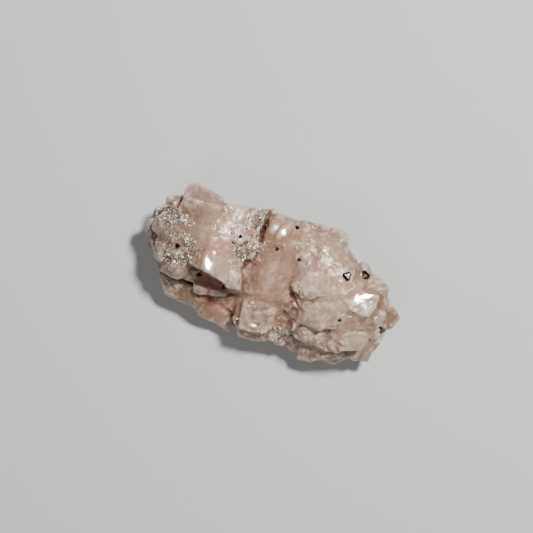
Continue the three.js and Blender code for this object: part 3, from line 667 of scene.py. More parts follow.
def relaxed(mesh, rounds, share=0.5):
    """Places of the vertices after each moves part of the way to the middle of its neighbours."""
    edges = np.zeros(len(mesh.edges) * 2, np.int32)
    mesh.edges.foreach_get("vertices", edges)
    a, b = edges.reshape(-1, 2).T
    places = read_places(mesh)
    count = np.bincount(a, minlength=len(places)) + np.bincount(b, minlength=len(places))
    for _ in range(rounds):
        total = np.zeros_like(places)
        for axis in range(3):
            total[:, axis] = np.bincount(a, places[b, axis], len(places))
            total[:, axis] += np.bincount(b, places[a, axis], len(places))
        places += share * (total / count[:, None] - places)
    return places


def ridges(mesh, rounds, full):
    """How sharply each vertex stands out on a ridge, 1, or lies in a crease, -1."""
    out = ((read_places(mesh) - relaxed(mesh, rounds)) * read_normals(mesh)).sum(1)
    return np.clip(out / (full * MM), -1, 1)


def merged(base, collection, operation):
    """The mesh of an object joined with, or cut by, every object of a collection."""
    cut = base.modifiers.new("merge", "BOOLEAN")
    cut.operation = operation
    cut.solver = "MANIFOLD"
    cut.operand_type = "COLLECTION"
    cut.collection = collection
    mesh = applied(base)
    for thing in list(collection.objects):
        bpy.data.objects.remove(thing)
    return mesh


BLOCK_DEPTH = 40 * MM  # of the block that cuts the specimen off flat


def matrix_block():
    """Mesh of a wide block that fills everything below the cut the specimen rests on."""
    bm = bmesh.new()
    bmesh.ops.create_cube(bm, size=1.0)
    bmesh.ops.scale(bm, vec=(2 * BLOCK_DEPTH, 2 * BLOCK_DEPTH, BLOCK_DEPTH), verts=bm.verts)
    bmesh.ops.translate(bm, vec=(0, 0, -BLOCK_DEPTH / 2), verts=bm.verts)
    mesh = drawn(bm, "block")
    add_blanks(mesh)
    return mesh


FAN_SPREAD = 0.85  # share of the half sphere over a vertex that its rays cover
RAY_START = 0.03  # height in millimetres above the vertex that the rays start from


def shelter(mesh, rays, reach):
    """How far each vertex is hidden in a hollow: 0 in the open, 1 deep inside."""
    tree = BVHTree.FromPolygons(
        [v.co.copy() for v in mesh.vertices], [tuple(p.vertices) for p in mesh.polygons]
    )
    golden = math.pi * (3 - math.sqrt(5))
    fan = []
    for i in range(rays):
        z = 1 - (i + 0.5) / rays * FAN_SPREAD
        r = math.sqrt(1 - z * z)
        fan.append(Vector((r * math.cos(golden * i), r * math.sin(golden * i), z)))
    hidden = np.zeros(len(mesh.vertices), np.float32)
    for k, vertex in enumerate(mesh.vertices):
        turn = Vector((0, 0, 1)).rotation_difference(vertex.normal).to_matrix()
        start = vertex.co + vertex.normal * RAY_START * MM
        total = 0.0
        for ray in fan:
            distance = tree.ray_cast(start, turn @ ray, reach)[3]
            if distance is not None:
                total += 1 - distance / reach
        hidden[k] = total / rays
    return hidden


# ---- colour and sugar, in the rows' millimetres ----
# x, y, reach along x, reach along y, strength.
OPEN_SPOTS = (
    (-2.65, 5.2, 0.7, 2.4, 1.0), (-2.3, 2.4, 0.6, 1.4, 0.9), (-6.0, -4.2, 3.2, 1.5, 1.0),
    (-2.2, -7.0, 0.6, 1.8, 1.0), (3.4, -1.4, 1.2, 1.0, 0.8), (-12.4, -5.0, 0.9, 1.2, 0.8),
    (-13.1, 3.4, 0.5, 1.4, 0.7), (12.0, -5.3, 2.0, 0.5, 0.8), (-14.7, -1.8, 0.6, 1.0, 0.7),
)
RUST_SPOTS = (
    (-2.65, 5.6, 0.35, 1.6, 0.35), (-2.5, 3.3, 0.4, 1.3, 0.4), (-2.15, 1.3, 0.3, 1.3, 0.4),
    (-5.9, -3.7, 2.0, 0.7, 2.4), (-5.2, -5.6, 2.0, 0.35, 1.6), (2.8, -0.6, 0.35, 0.4, 1.0),
    (3.3, -1.2, 0.45, 0.4, 1.0), (3.8, -1.8, 0.4, 0.35, 1.0), (4.5, -2.5, 0.3, 0.2, 1.0),
    (-11.5, 0.6, 0.3, 0.9, 0.45), (3.7, -4.7, 1.2, 0.6, 0.6), (-2.1, -6.9, 0.35, 1.5, 0.9),
    (11.4, -5.5, 1.2, 0.2, 0.7), (-8.9, -5.3, 0.9, 0.3, 0.6), (-14.6, -1.9, 0.4, 0.9, 0.6),
    (-12.3, -5.2, 0.5, 1.1, 0.8), (8.5, -3.35, 0.5, 0.2, 0.35), (-0.4, -3.3, 1.6, 0.25, 0.4),
    (-13.05, 3.5, 0.15, 1.2, 0.5), (5.9, -7.2, 1.8, 0.45, 0.45), (-10.4, 0.4, 0.35, 1.2, 0.4),
    (3.9, -3.7, 1.0, 0.25, 0.5),
)
OCHRE_SPOTS = (
    (-11.4, -4.2, 0.8, 0.8, 0.8), (8.4, -4.2, 0.7, 0.5, 0.7), (-1.6, -6.5, 0.35, 0.6, 0.9),
    (-11.6, -0.3, 0.4, 0.4, 0.6), (-11.3, 2.6, 0.6, 0.5, 0.45), (-0.5, 1.0, 2.2, 4.0, 0.25),
    (0.3, -1.8, 2.4, 1.6, 0.35), (1.3, 0.6, 1.1, 2.2, 0.3), (3.6, -3.9, 1.0, 0.3, 0.5),
    (-1.3, -6.4, 0.25, 0.8, 0.8), (6.4, -0.4, 3.0, 1.2, 0.2), (-8.0, -5.2, 4.4, 2.0, 0.35),
    (1.0, -3.0, 3.6, 1.4, 0.4),
)
BLUSH_SPOTS = (
    (-6.6, 1.0, 1.6, 2.4, 1.0), (-12.3, 3.2, 0.9, 0.9, 0.6), (6.0, 1.0, 3.4, 2.6, 1.2),
    (6.6, -3.0, 3.0, 1.6, 1.0), (1.2, 2.0, 1.2, 2.0, 0.6), (13.6, -4.6, 1.2, 1.4, 0.9),
    (-0.2, -2.0, 2.4, 1.6, 0.6), (-8.4, -2.0, 0.9, 1.0, 0.7), (-4.0, -7.2, 2.4, 1.2, 0.9),
    (1.6, -4.6, 1.6, 0.8, 0.6), (11.6, -1.8, 1.6, 1.2, 0.5), (-15.2, -0.8, 0.6, 1.2, 0.8),
    (-15.1, 2.4, 0.5, 1.0, 0.9), (0.3, -8.0, 1.6, 0.6, 0.6), (10.2, -7.3, 1.8, 0.5, 0.8),
    (4.5, -1.8, 0.9, 0.5, 0.7),
)
# Paler, cooler spots: partly paler crystals, partly painted light on faces turned away from the key light
PALE_AND_LIT_SPOTS = (
    (-9.8, 5.2, 2.6, 1.2, 0.6), (-6.2, 5.0, 1.2, 1.2, 0.8), (-9.6, 2.0, 1.8, 2.6, 0.7),
    (-5.6, -1.8, 2.0, 1.2, 0.9), (11.6, 1.0, 1.8, 1.4, 0.8), (12.0, -3.7, 1.7, 1.4, 1.3),
    (6.2, -3.2, 1.6, 1.0, 0.6), (0.0, -6.0, 1.4, 1.1, 0.5), (6.0, 6.2, 1.6, 1.2, 0.7),
    (-3.4, -2.6, 0.9, 0.6, 0.9), (4.7, -5.2, 0.4, 0.8, 2.0), (8.2, -6.6, 1.4, 1.2, 0.5),
    (12.4, 4.2, 0.9, 0.3, 0.7), (6.8, -0.6, 3.4, 2.2, 1.6), (6.2, -3.6, 2.6, 1.5, 1.2),
    (4.2, -2.9, 1.3, 0.8, 1.0), (6.8, -5.6, 1.8, 1.0, 0.9), (3.4, 2.6, 1.2, 2.6, 0.6),
)
# Darker, greyer spots: partly clearer crystals, partly painted shade at the ends, along the upper rim and on
# other faces
DULL_AND_SHADE_SPOTS = (
    (-13.8, 0.0, 2.4, 3.6, 1.0), (-11.4, -3.6, 2.4, 2.6, 0.85), (-7.4, -6.6, 4.0, 1.1, 0.6),
    (-3.4, 1.6, 1.6, 2.2, 0.4), (-3.2, 5.7, 1.2, 1.6, 1.35), (-1.2, 2.4, 1.0, 1.6, 0.8),
    (-1.5, -1.6, 1.2, 1.8, 0.8), (15.4, 0.8, 1.5, 1.8, 1.0), (13.4, 2.8, 1.6, 1.2, 0.9),
    (9.0, 5.0, 1.8, 1.4, 0.9), (10.0, -6.6, 3.0, 0.9, 0.3), (-10.6, 0.6, 1.0, 1.8, 0.4),
    (2.6, 7.0, 3.6, 0.6, 0.7), (5.6, 4.8, 2.2, 1.4, 0.3), (14.2, -4.4, 1.4, 2.0, 1.0),
    (3.6, -4.8, 1.0, 0.8, 0.3), (-10.2, 5.9, 3.0, 1.2, 0.85), (-5.4, 6.2, 2.4, 0.8, 0.7),
    (6.6, 6.6, 1.8, 1.2, 0.7), (-11.4, 3.2, 1.6, 1.4, 0.5), (0.8, -4.8, 1.6, 0.9, 0.9),
    (13.4, -0.4, 1.4, 2.2, 0.8),
)
BLENDED_SPOTS = (
    (-9.4, 1.6, 1.8, 4.0, 1.0), (-6.5, 3.4, 1.2, 2.4, 1.0), (-6.0, -0.4, 1.2, 2.0, 0.9),
    (0.2, 0.4, 2.2, 4.0, 1.0), (1.6, -2.4, 2.4, 1.4, 0.8), (5.6, 1.8, 3.4, 3.0, 0.5),
    (7.6, -0.9, 2.9, 2.0, 0.5), (9.6, -1.4, 2.4, 1.6, 0.5), (6.2, 4.9, 2.4, 1.8, 0.4),
    (11.2, 1.4, 2.0, 2.0, 0.9), (11.8, -3.0, 1.8, 1.8, 0.9), (0.2, -5.2, 1.8, 1.4, 0.8),
    (4.1, -3.5, 0.9, 0.9, 0.9), (-7.1, -1.8, 1.2, 1.6, 0.7), (-0.4, 5.0, 1.4, 1.4, 0.8),
    (-9.8, -6.2, 2.4, 0.9, 0.6), (-13.2, 0.8, 1.4, 1.2, 0.7), (-10.4, -4.0, 1.4, 1.0, 0.6),
    (-6.6, -1.6, 0.9, 0.8, 0.4),
)
GROWN_SPOTS = (
    (5.6, 2.6, 4.2, 3.4, 1.0), (7.4, -2.4, 3.6, 2.2, 0.9), (11.2, 0.6, 2.4, 2.0, 0.9),
    (0.2, 0.2, 2.2, 4.0, 0.9), (-6.6, 1.8, 3.6, 3.6, 0.7), (-12.6, 0.4, 2.4, 2.0, 0.6),
    (7.0, -5.2, 2.6, 1.4, 0.6), (4.0, -3.7, 1.0, 1.0, 1.0), (0.4, -5.4, 2.4, 1.6, 0.4),
    (-10.6, 4.6, 2.0, 1.0, 0.6),
)
# Flat bright faces: x, y, half length, half width, direction in degrees, rise along x and along y.
BRIGHT_FACES = (
    (-7.1, -1.8, 1.3, 0.55, -63, -0.14, -0.25), (-0.35, 5.1, 0.9, 0.5, 63, -0.11, -0.225),
    (11.2, 1.7, 1.7, 0.55, 32, -0.07, -0.24), (3.95, -2.35, 0.4, 0.22, -30, -0.1, -0.25),
    (-7.5, 4.7, 0.55, 0.22, 80, -0.13, -0.23), (-8.0, 2.4, 0.3, 0.3, 0, -0.14, -0.24),
    (0.4, -6.4, 0.5, 0.25, 20, -0.11, -0.26),
)
POLISHED_SPOTS = (
    (-7.15, -1.8, 1.1, 1.6, 1.0), (-0.3, 5.1, 1.0, 1.3, 1.0), (10.4, 1.1, 0.9, 0.6, 1.0),
    (11.2, 1.6, 0.9, 0.7, 1.0), (12.0, 2.1, 0.8, 0.6, 1.0), (3.9, -2.4, 0.5, 0.3, 1.0),
    (-8.0, 2.4, 0.35, 0.5, 0.9), (-7.4, 4.5, 0.35, 0.9, 0.8), (-5.6, -1.0, 0.5, 0.8, 0.15),
    (12.0, -3.6, 1.4, 1.0, 0.4), (0.3, -6.4, 0.9, 0.6, 0.3),
)
SMOOTH_SPOTS = (
    (-7.1, -1.9, 1.2, 1.6, 1.0), (-0.3, 5.1, 1.0, 1.2, 1.0), (11.0, 1.5, 1.8, 1.1, 1.0),
    (-9.2, 2.6, 1.8, 3.2, 1.0), (-5.4, -1.6, 2.2, 2.0, 0.9), (-6.4, 1.2, 1.3, 2.6, 0.8),
    (0.0, -1.6, 2.4, 2.0, 1.0), (1.3, 1.5, 1.3, 3.0, 0.9), (-1.0, 1.6, 1.2, 2.2, 0.7),
    (-4.2, -7.0, 2.2, 1.2, 0.9), (-0.2, -6.0, 1.5, 1.2, 0.8), (11.8, -3.9, 1.8, 1.4, 1.0),
    (-10.6, 5.0, 2.0, 1.0, 0.7), (14.8, 0.6, 1.2, 1.2, 0.7), (-0.9, 5.4, 1.2, 1.4, 0.6),
    (6.0, -3.2, 1.6, 1.2, 0.7), (-5.8, 4.2, 1.5, 1.7, 0.9), (7.8, 1.6, 2.4, 2.2, 0.5),
    (5.2, 1.0, 1.6, 1.8, 0.5), (8.4, -1.2, 2.4, 1.6, 0.5), (6.4, 5.2, 1.8, 1.6, 0.5),
)
RUBBLE_PATCHES = (
    (-14.0, 1.6, 0.8, 0.8, 0.7), (-13.4, -2.2, 0.9, 1.2, 0.8), (-11.0, -1.9, 1.9, 1.6, 0.9),
    (-9.2, -6.2, 2.4, 0.9, 0.6), (-4.0, 1.2, 1.4, 1.5, 0.5), (-3.8, 5.0, 0.8, 1.2, 0.8),
    (-2.3, 2.0, 0.5, 1.8, 0.6), (0.6, 6.4, 1.4, 0.7, 0.7), (3.0, 4.2, 1.2, 1.2, 0.8),
    (4.6, 6.3, 2.4, 1.0, 0.7), (7.0, 3.4, 1.6, 1.4, 0.5), (3.9, -2.2, 0.9, 0.5, 0.9),
    (-0.4, -4.4, 1.4, 0.6, 0.5), (3.2, -6.4, 1.7, 1.1, 0.6), (0.2, -8.0, 2.0, 0.5, 0.7),
    (6.0, -5.6, 1.4, 1.2, 0.5), (7.8, -7.6, 1.4, 0.6, 0.7), (9.6, -6.2, 1.4, 0.9, 0.3),
    (8.8, -3.4, 0.9, 0.7, 0.6), (9.4, -1.2, 0.6, 1.0, 0.5), (12.4, 4.0, 1.0, 0.6, 0.6),
    (12.6, -5.8, 1.6, 0.7, 0.9), (14.2, -3.8, 0.7, 1.4, 0.9), (5.4, -0.3, 0.6, 0.4, 0.4),
    (-12.6, 4.2, 0.7, 1.0, 0.4), (-7.9, 2.4, 0.5, 0.5, 0.9), (-7.5, 4.5, 0.3, 0.8, 0.8),
)
SUGAR_PATCHES = (
    (-13.9, 1.8, 1.3, 1.0, 1.0), (-11.8, 1.9, 1.2, 0.6, 1.0), (-7.5, 4.6, 0.3, 0.8, 0.7),
    (-8.0, 2.4, 0.4, 0.4, 0.8), (-10.9, -1.5, 1.9, 1.7, 1.1), (-3.8, 5.0, 0.9, 1.3, 1.0),
    (-3.9, 1.5, 1.7, 2.0, 1.0), (2.9, 4.1, 1.1, 1.1, 0.62), (4.3, 4.7, 0.9, 0.6, 0.55),
    (-0.7, -4.2, 0.8, 0.7, 0.7), (3.3, -6.3, 1.3, 1.1, 0.8), (-4.2, -0.4, 1.5, 0.8, 0.5),
    (-1.7, -6.6, 0.4, 0.8, 0.7), (-11.3, -3.6, 1.1, 0.8, 0.5), (5.6, -5.4, 0.7, 0.7, 0.4),
    (-12.9, -2.0, 0.9, 0.9, 0.5), (9.4, -1.5, 0.4, 0.7, 0.35), (12.3, 4.0, 0.9, 0.4, 0.4),
)


# Edges of thin plates: height, how far back the plate reaches, and points with the plate on their left.
PLATE_EDGES = (
    (0.2, 1.3, ((2.4, -0.2), (3.1, -0.8), (3.8, -1.5), (4.1, -2.1))),
    (0.16, 1.1, ((3.9, -1.5), (4.6, -1.2), (5.3, -1.15), (5.9, -0.6), (6.7, -0.3))),
    (0.14, 1.2, ((6.1, -1.0), (5.8, -1.5), (5.2, -2.0), (4.5, -2.3))),
    (0.14, 1.0, ((8.6, 0.5), (9.2, 1.5), (9.8, 2.5))),
    (0.12, 0.8, ((9.55, 0.0), (9.8, -0.4), (10.3, -0.65), (11.0, -0.7))),
    (0.12, 1.6, ((13.3, -2.1), (11.6, -2.6), (10.6, -3.3), (10.0, -4.3))),
    (0.14, 0.8, ((9.6, -6.2), (9.1, -5.5), (8.6, -4.8))),
    (0.14, 1.0, ((2.7, -3.3), (3.8, -3.8), (4.7, -4.1), (5.2, -4.7))),
    (0.16, 0.9, ((2.2, -3.5), (1.2, -4.0), (0.4, -4.7), (-0.5, -4.9))),
    (0.12, 0.9, ((0.0, 1.8), (0.45, 3.0), (0.3, 3.65), (-1.2, 3.45))),
    (0.12, 0.9, ((-10.8, 2.0), (-12.0, 2.15), (-13.2, 2.3))),
    (0.12, 0.8, ((-12.4, -4.2), (-12.2, -3.0), (-12.0, -1.7))),
    (0.12, 0.8, ((7.8, -7.8), (9.0, -7.5), (10.0, -7.0), (11.7, -6.4))),
    (0.12, 0.8, ((7.9, -4.0), (8.6, -3.3), (9.4, -3.25))),
)
EDGE_RISE = 0.26  # width over which a plate's edge rises
EDGE_RAGGEDNESS = 0.08  # how far a plate's edge wanders to either side
EDGE_TAPER = 0.2  # share of the edge at each end over which it fades


def plated(points):
    """Lift in millimetres of the thin plates over the faces below them."""
    lift = np.zeros(len(points))
    ragged = EDGE_RAGGEDNESS * ripple(points, 0.5, 71)
    for height, reach, line in PLATE_EDGES:
        _, side, passed = beside(points, line)
        side += ragged
        ends = smooth(passed / EDGE_TAPER) * smooth((1 - passed) / EDGE_TAPER)
        lift += height * ends * smooth(side / EDGE_RISE + 0.5) * np.exp(-np.maximum(side, 0) / reach)
    return lift


FRAYS = ((1.0, 0.9, 21), (0.5, 0.35, 22))  # strength, length and seed of each wave in an outline
SPOT_FALL = 0.7  # how fast a spot fades from its middle


def spotted(points, spots, fray=0.45):
    """Strength at points in the rows' millimetres of soft-edged oval spots with frayed outlines."""
    fraying = 1.0
    if fray:
        fraying = 1 + fray * sum(share * ripple(points, length, seed) for share, length, seed in FRAYS)
    total = np.zeros(points.shape[:-1])
    for x, y, reach_x, reach_y, strength in spots:
        away = ((points[..., 0] - x) / reach_x) ** 2 + ((points[..., 1] - y) / reach_y) ** 2
        total = np.maximum(total, strength * np.exp(-away * fraying * SPOT_FALL))
    return total


FLAT_CORE = 0.4  # middle of a bright face whose highest point sets its level, in its half lengths
FLAT_REACH = 1.7  # distance from its middle up to which the surface is laid flat, likewise
FLAT_FADE = 1.3  # width over which this fades, likewise
FLAT_DEPTH = 1.0  # surface farther than this above or below, in millimetres, is left alone
FLAT_DEPTH_FADE = 0.4


def flattened(places, normals):
    """Places in the specimen's frame with the upper side laid flat at each bright face."""
    points = in_rows(places)
    for x, y, length, width, direction, rise_x, rise_y in BRIGHT_FACES:
        turn = math.radians(direction)
        dx, dy = points[:, 0] - x, points[:, 1] - y
        along = (dx * math.cos(turn) + dy * math.sin(turn)) / length
        across = (dy * math.cos(turn) - dx * math.sin(turn)) / width
        away = np.hypot(along, across)
        level = points[away < max(FLAT_CORE, away.min() + 0.1), 2].max()
        rise = level + rise_x * dx + rise_y * dy - points[:, 2]
        share = smooth((FLAT_REACH - away) / FLAT_FADE)
        share = share * smooth((FLAT_DEPTH - np.abs(rise)) / FLAT_DEPTH_FADE)
        points[:, 2] += rise * (share * (normals[:, 2] > 0.3))
    return (points - (*CENTRE, 0)) * MM


SEAT_LINE = 0.08  # how far above a chalcopyrite crystal's middle the dolomite reaches, in its heights
SEAT_DEPTH = 1.2 * MM  # surface farther than this above or below isn't moved
SEAT_CORE = 0.4  # radius in millimetres whose mean height is brought to the seat
SEAT_FULL = 1.3  # above 1, so that the surface moves as one around the middle
SEAT_FADE = 1.2  # millimetres over which the movement fades


def seated(places, normals):
    """Places with the surface raised or lowered to where each chalcopyrite crystal sits."""
    for node in CHALCOPYRITE_TURNS:
        low, high = (np.array(corner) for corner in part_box(node))
        wanted = (low[2] + high[2]) / 2 + SEAT_LINE * (high[2] - low[2])
        away = np.linalg.norm(places[:, :2] - (low[:2] + high[:2]) / 2, axis=1) / MM
        facing = (normals[:, 2] > 0) & (np.abs(places[:, 2] - wanted) < SEAT_DEPTH)
        near = facing & (away < SEAT_CORE)
        if near.any():
            share = smooth(SEAT_FULL - away / SEAT_FADE)
            places[:, 2] += (wanted - places[near, 2].mean()) * share * facing
    return places


def stain(mesh, places):
    """Gives a mesh the strength of each stain and tint at its vertices; the pale and dull tints are partly
    painted light and shade.
    """
    stains = {
        "rust": RUST_SPOTS, "ochre": OCHRE_SPOTS, "blush": BLUSH_SPOTS, "pearl": PALE_AND_LIT_SPOTS,
        "polish": POLISHED_SPOTS, "smooth": SMOOTH_SPOTS, "dull": DULL_AND_SHADE_SPOTS,
    }
    for name, spots in stains.items():
        add_values(mesh, name, spotted(in_rows(places), spots))


# ---- node trees ----
class Socket:
    """A node's socket that takes part in Python expressions."""

    def __init__(self, tree, out):
        self.tree = tree
        self.out = out

    def other(self, name):
        """Another output of the same node."""
        return Socket(self.tree, self.out.node.outputs[name])

    def maths(self, operation, first, second):
        return self.tree.node("ShaderNodeMath", {"operation": operation}, {0: first, 1: second})

    def __add__(self, value):
        return self.maths("ADD", self, value)

    def __sub__(self, value):
        return self.maths("SUBTRACT", self, value)

    def __rsub__(self, value):
        return self.maths("SUBTRACT", value, self)

    def __mul__(self, value):
        return self.maths("MULTIPLY", self, value)

    def __pow__(self, value):
        return self.maths("POWER", self, value)

    __radd__ = __add__
    __rmul__ = __mul__


class Tree:
    """A node tree, built by one method that adds any node."""

    def __init__(self, tree):
        self.tree = tree

    def node(self, kind, settings=None, inputs=None, output=0):
        made = self.tree.nodes.new(kind)
        for name, value in (settings or {}).items():
            if name == "stops":
                self.stops(made.color_ramp, value)
            else:
                setattr(made, name, value)
        for key, value in (inputs or {}).items():
            if isinstance(value, Socket):
                self.tree.links.new(value.out, made.inputs[key])
            else:
                made.inputs[key].default_value = value
        return Socket(self, made.outputs[output])

    def stops(self, ramp, stops):
        while len(ramp.elements) < len(stops):
            ramp.elements.new(1.0)
        for element, (position, grey) in zip(ramp.elements, stops):
            element.position = position
            element.color = (grey, grey, grey, 1.0)


class Shader(Tree):
    """A material's node tree, with the patterns that this specimen needs."""

    def __init__(self, name):
        self.material = bpy.data.materials.new(name)
        self.material.use_nodes = True
        super().__init__(self.material.node_tree)
        self.tree.nodes.clear()

    def value(self, name):
        return self.node("ShaderNodeAttribute", {"attribute_name": name}, output="Fac")

    def place(self):
        return self.node("ShaderNodeTexCoord", output="Object")

    def noise(self, size, detail):
        inputs = {"Vector": self.place(), "Scale": 1 / size, "Detail": detail}
        return self.node("ShaderNodeTexNoise", {}, inputs)

    def cell(self, size):
        """The random colour of each small cell of the mineral."""
        inputs = {"Vector": self.place(), "Scale": 1 / size}
        return self.node("ShaderNodeTexVoronoi", {}, inputs, "Color")

    def cells(self, size):
        """A number between 0 and 1 for each small cell of the mineral."""
        return self.node("ShaderNodeSeparateColor", {}, {"Color": self.cell(size)})

    def panes(self, size, lean):
        """Height in millimetres of small flat panes, each tilted its own way."""
        colour = self.cell(size)
        away = self.vector("SUBTRACT", self.place(), colour.other("Position"))
        tilt = self.vector("SUBTRACT", colour, (0.5, 0.5, 0.5))
        return self.vector("DOT_PRODUCT", away, tilt, output="Value") * (lean / MM)

    def vector(self, operation, first, second, output="Vector"):
        return self.node("ShaderNodeVectorMath", {"operation": operation}, {0: first, 1: second}, output)

    def ramp(self, factor, low, high, start=0.0, end=1.0):
        stops = ((low, start), (high, end))
        return self.node("ShaderNodeValToRGB", {"stops": stops}, {"Fac": factor})

    def blend(self, factor, first, second):
        settings = {"data_type": "RGBA", "blend_type": "MIX", "clamp_factor": True}
        return self.node("ShaderNodeMix", settings, {0: factor, 6: first, 7: second}, output=2)

    def finish(self, principled):
        end = self.tree.nodes.new("ShaderNodeOutputMaterial")
        self.tree.links.new(principled.out, end.inputs["Surface"])
        return self.material


def rgba(colour):
    return (*colour, 1.0)


# ---- materials ----
def dolomite_material(settings, name="dolomite", sugary=False):
    """Pearly, slightly translucent pink-white mineral with staining and painted shade in its hollows and
    painted highlights on its edges.
    """
    shader = Shader(name)
    tone, edge, pane, hollow, ridge, sugar = (
        shader.value(name) for name in ("tone", "edge", "pane", "hollow", "ridge", "sugar")
    )
    rust, ochre, blush, pearl, polish, even, dull = (
        shader.value(name) for name in ("rust", "ochre", "blush", "pearl", "polish", "smooth", "dull")
    )
    broad = shader.noise(4.0 * MM, 3.0)
    cloudy = shader.noise(1.1 * MM, 4.0)
    fine = shader.noise(0.28 * MM, 3.0)
    speck = shader.cells(0.27 * MM)
    warmth = broad * 0.9 + cloudy * 0.1 + tone * 0.08 + blush * 0.3 - pearl * 0.3
    darker = broad * 0.6 + cloudy * 0.25 + fine * 0.15 - pane * 0.06 - tone * 0.06 - pearl * 0.1
    # Painted shade between the sugary grains, darker where the sugar is thick
    gaps = shader.ramp(sugar * sugar - speck * 0.5 - fine * 0.4, 0.1, 0.5)
    bright = 1 - dull * 0.7
    # Lighter clouds: partly random tone, partly painted highlight along edges and ridges and in the pale
    # spots
    lighter = fine * 0.2 + cloudy * 0.4 + pane * 0.1 + edge * 0.2 + ridge * 0.3 + pearl * 0.25
    # Frosted ridges: some real frosting, mostly a painted highlight where convex edges catch the light
    frosted = shader.ramp(ridge + fine * 0.3, 0.3, 0.75)
    # Pale specks: painted glints of cleaved panes, which also get a lower roughness and a stronger coat
    speckled = shader.ramp(speck + sugar * 0.2, 0.92, 0.96) * (1 - even * 0.9)
    yellow = ochre * shader.ramp(fine, 0.3, 0.6, 0.35, 1.0)
    # Painted shade in hollows and creases, darker the more the neighbours shelter a vertex
    deep = shader.ramp(hollow - ridge * 0.3, 0.1, 0.44)
    rusty = rust * shader.ramp(hollow + fine * 0.35 - ridge * 0.1, 0.12, 0.45, 0.35, 1.0)
    rusty = shader.ramp(rusty, 0.0, 1.0)
    layers = [
        (shader.ramp(warmth, 0.3, 0.8), settings.pink),
        (shader.ramp(darker, 0.4, 0.7) * 0.45, settings.shade),
        (dull * 0.8, settings.dull),
        (gaps * 0.75, settings.dull),
        (shader.ramp(lighter, 0.35, 0.95) * 0.62 * bright, settings.frost),
        (frosted * 0.75 * bright, settings.frost),
        (speckled * 0.25, settings.frost),
        (yellow * 0.7, settings.ochre),
        (deep * 0.9, settings.hollow),
        (rusty * 0.95, settings.rust),
    ]
    if sugary:
        # Lighter grains, partly white sugary dolomite and partly painted sparkle; the brightest get a painted
        # glint
        layers.append((shader.ramp(tone, 0.05, 0.5) * 0.9, settings.frost))
        layers.append((shader.ramp(tone, 0.6, 0.8), settings.glint))
    colour = rgba(settings.pearl)
    for share, layer in layers:
        colour = shader.blend(share, colour, rgba(layer))
    rough = shader.ramp(fine * 0.5 + cloudy * 0.5 + edge * 0.1, 0.35, 0.7, 0.26, 0.55)
    rough = rough * (1 - polish * 0.7) * (1 - speckled * 0.4) + rusty * 0.25
    coat = shader.ramp(polish * 0.9 + speckled * 0.6 + fine * 0.25, 0.0, 1.0, 0.1, 1.0)
    grain = shader.noise(0.14 * MM, 3.0)
    panes = shader.panes(0.42 * MM, 0.55) + shader.panes(0.9 * MM, 0.3)
    height = (grain * 0.03 + panes) * (1 - 0.7 * even)
    bump = {"Strength": 1.0, "Distance": MM, "Height": height * (1 - 0.8 * polish)}
    if sugary:
        bump["Height"] = grain * 0.02
        rough = rough * 0.4
    inputs = {
        "Base Color": colour,
        "Roughness": rough,
        "IOR": 1.68,
        "Subsurface Weight": 0.25,
        "Subsurface Radius": (1.0, 0.62, 0.5),
        "Subsurface Scale": 0.6 * MM,
        "Coat Weight": coat * (1 - rusty * 0.9),
        "Coat Roughness": 0.2,
        "Normal": shader.node("ShaderNodeBump", {}, bump),
    }
    return shader.finish(shader.node("ShaderNodeBsdfPrincipled", {}, inputs))


def chalcopyrite_material(settings):
    """Dark tarnished metal, its near-black partly a painted dark reflection, with brassy bare patches and
    fine striations.
    """
    shader = Shader("chalcopyrite")
    patch = shader.noise(0.35 * MM, 3.0)
    fine = shader.noise(0.05 * MM, 2.0)
    bare = shader.ramp(patch + shader.value("edge") * 0.25, 0.55, 0.8)
    colour = shader.blend(bare, rgba(settings.tarnish), rgba(settings.brassy))
    rough = shader.ramp(patch, 0.3, 0.7, 0.16, 0.38)
    bump = {"Strength": 0.3, "Distance": 0.01 * MM, "Height": fine}
    inputs = {
        "Base Color": colour,
        "Metallic": 1.0,
        "Roughness": rough,
        "Normal": shader.node("ShaderNodeBump", {}, bump),
    }
    return shader.finish(shader.node("ShaderNodeBsdfPrincipled", {}, inputs))


def plain_material(name, colour, roughness):
    """Even matt finish for the stage."""
    shader = Shader(name)
    inputs = {"Base Color": rgba(colour), "Roughness": roughness}
    return shader.finish(shader.node("ShaderNodeBsdfPrincipled", {}, inputs))


# ---- small crystals scattered by geometry nodes ----
SCATTER_INPUTS = {
    "Geometry": "NodeSocketGeometry",
    "Mask": "NodeSocketString",
    "Density": "NodeSocketFloat",
    "Smallest": "NodeSocketFloat",
    "Largest": "NodeSocketFloat",
    "Lean": "NodeSocketFloat",
    "Cuts": "NodeSocketInt",
    "Seed": "NodeSocketInt",
    "Material": "NodeSocketMaterial",
}
SMALL_RHOMB = (1.0, 0.9, 0.62)  # proportions of a small rhomb
HALF_TURN = 3.142


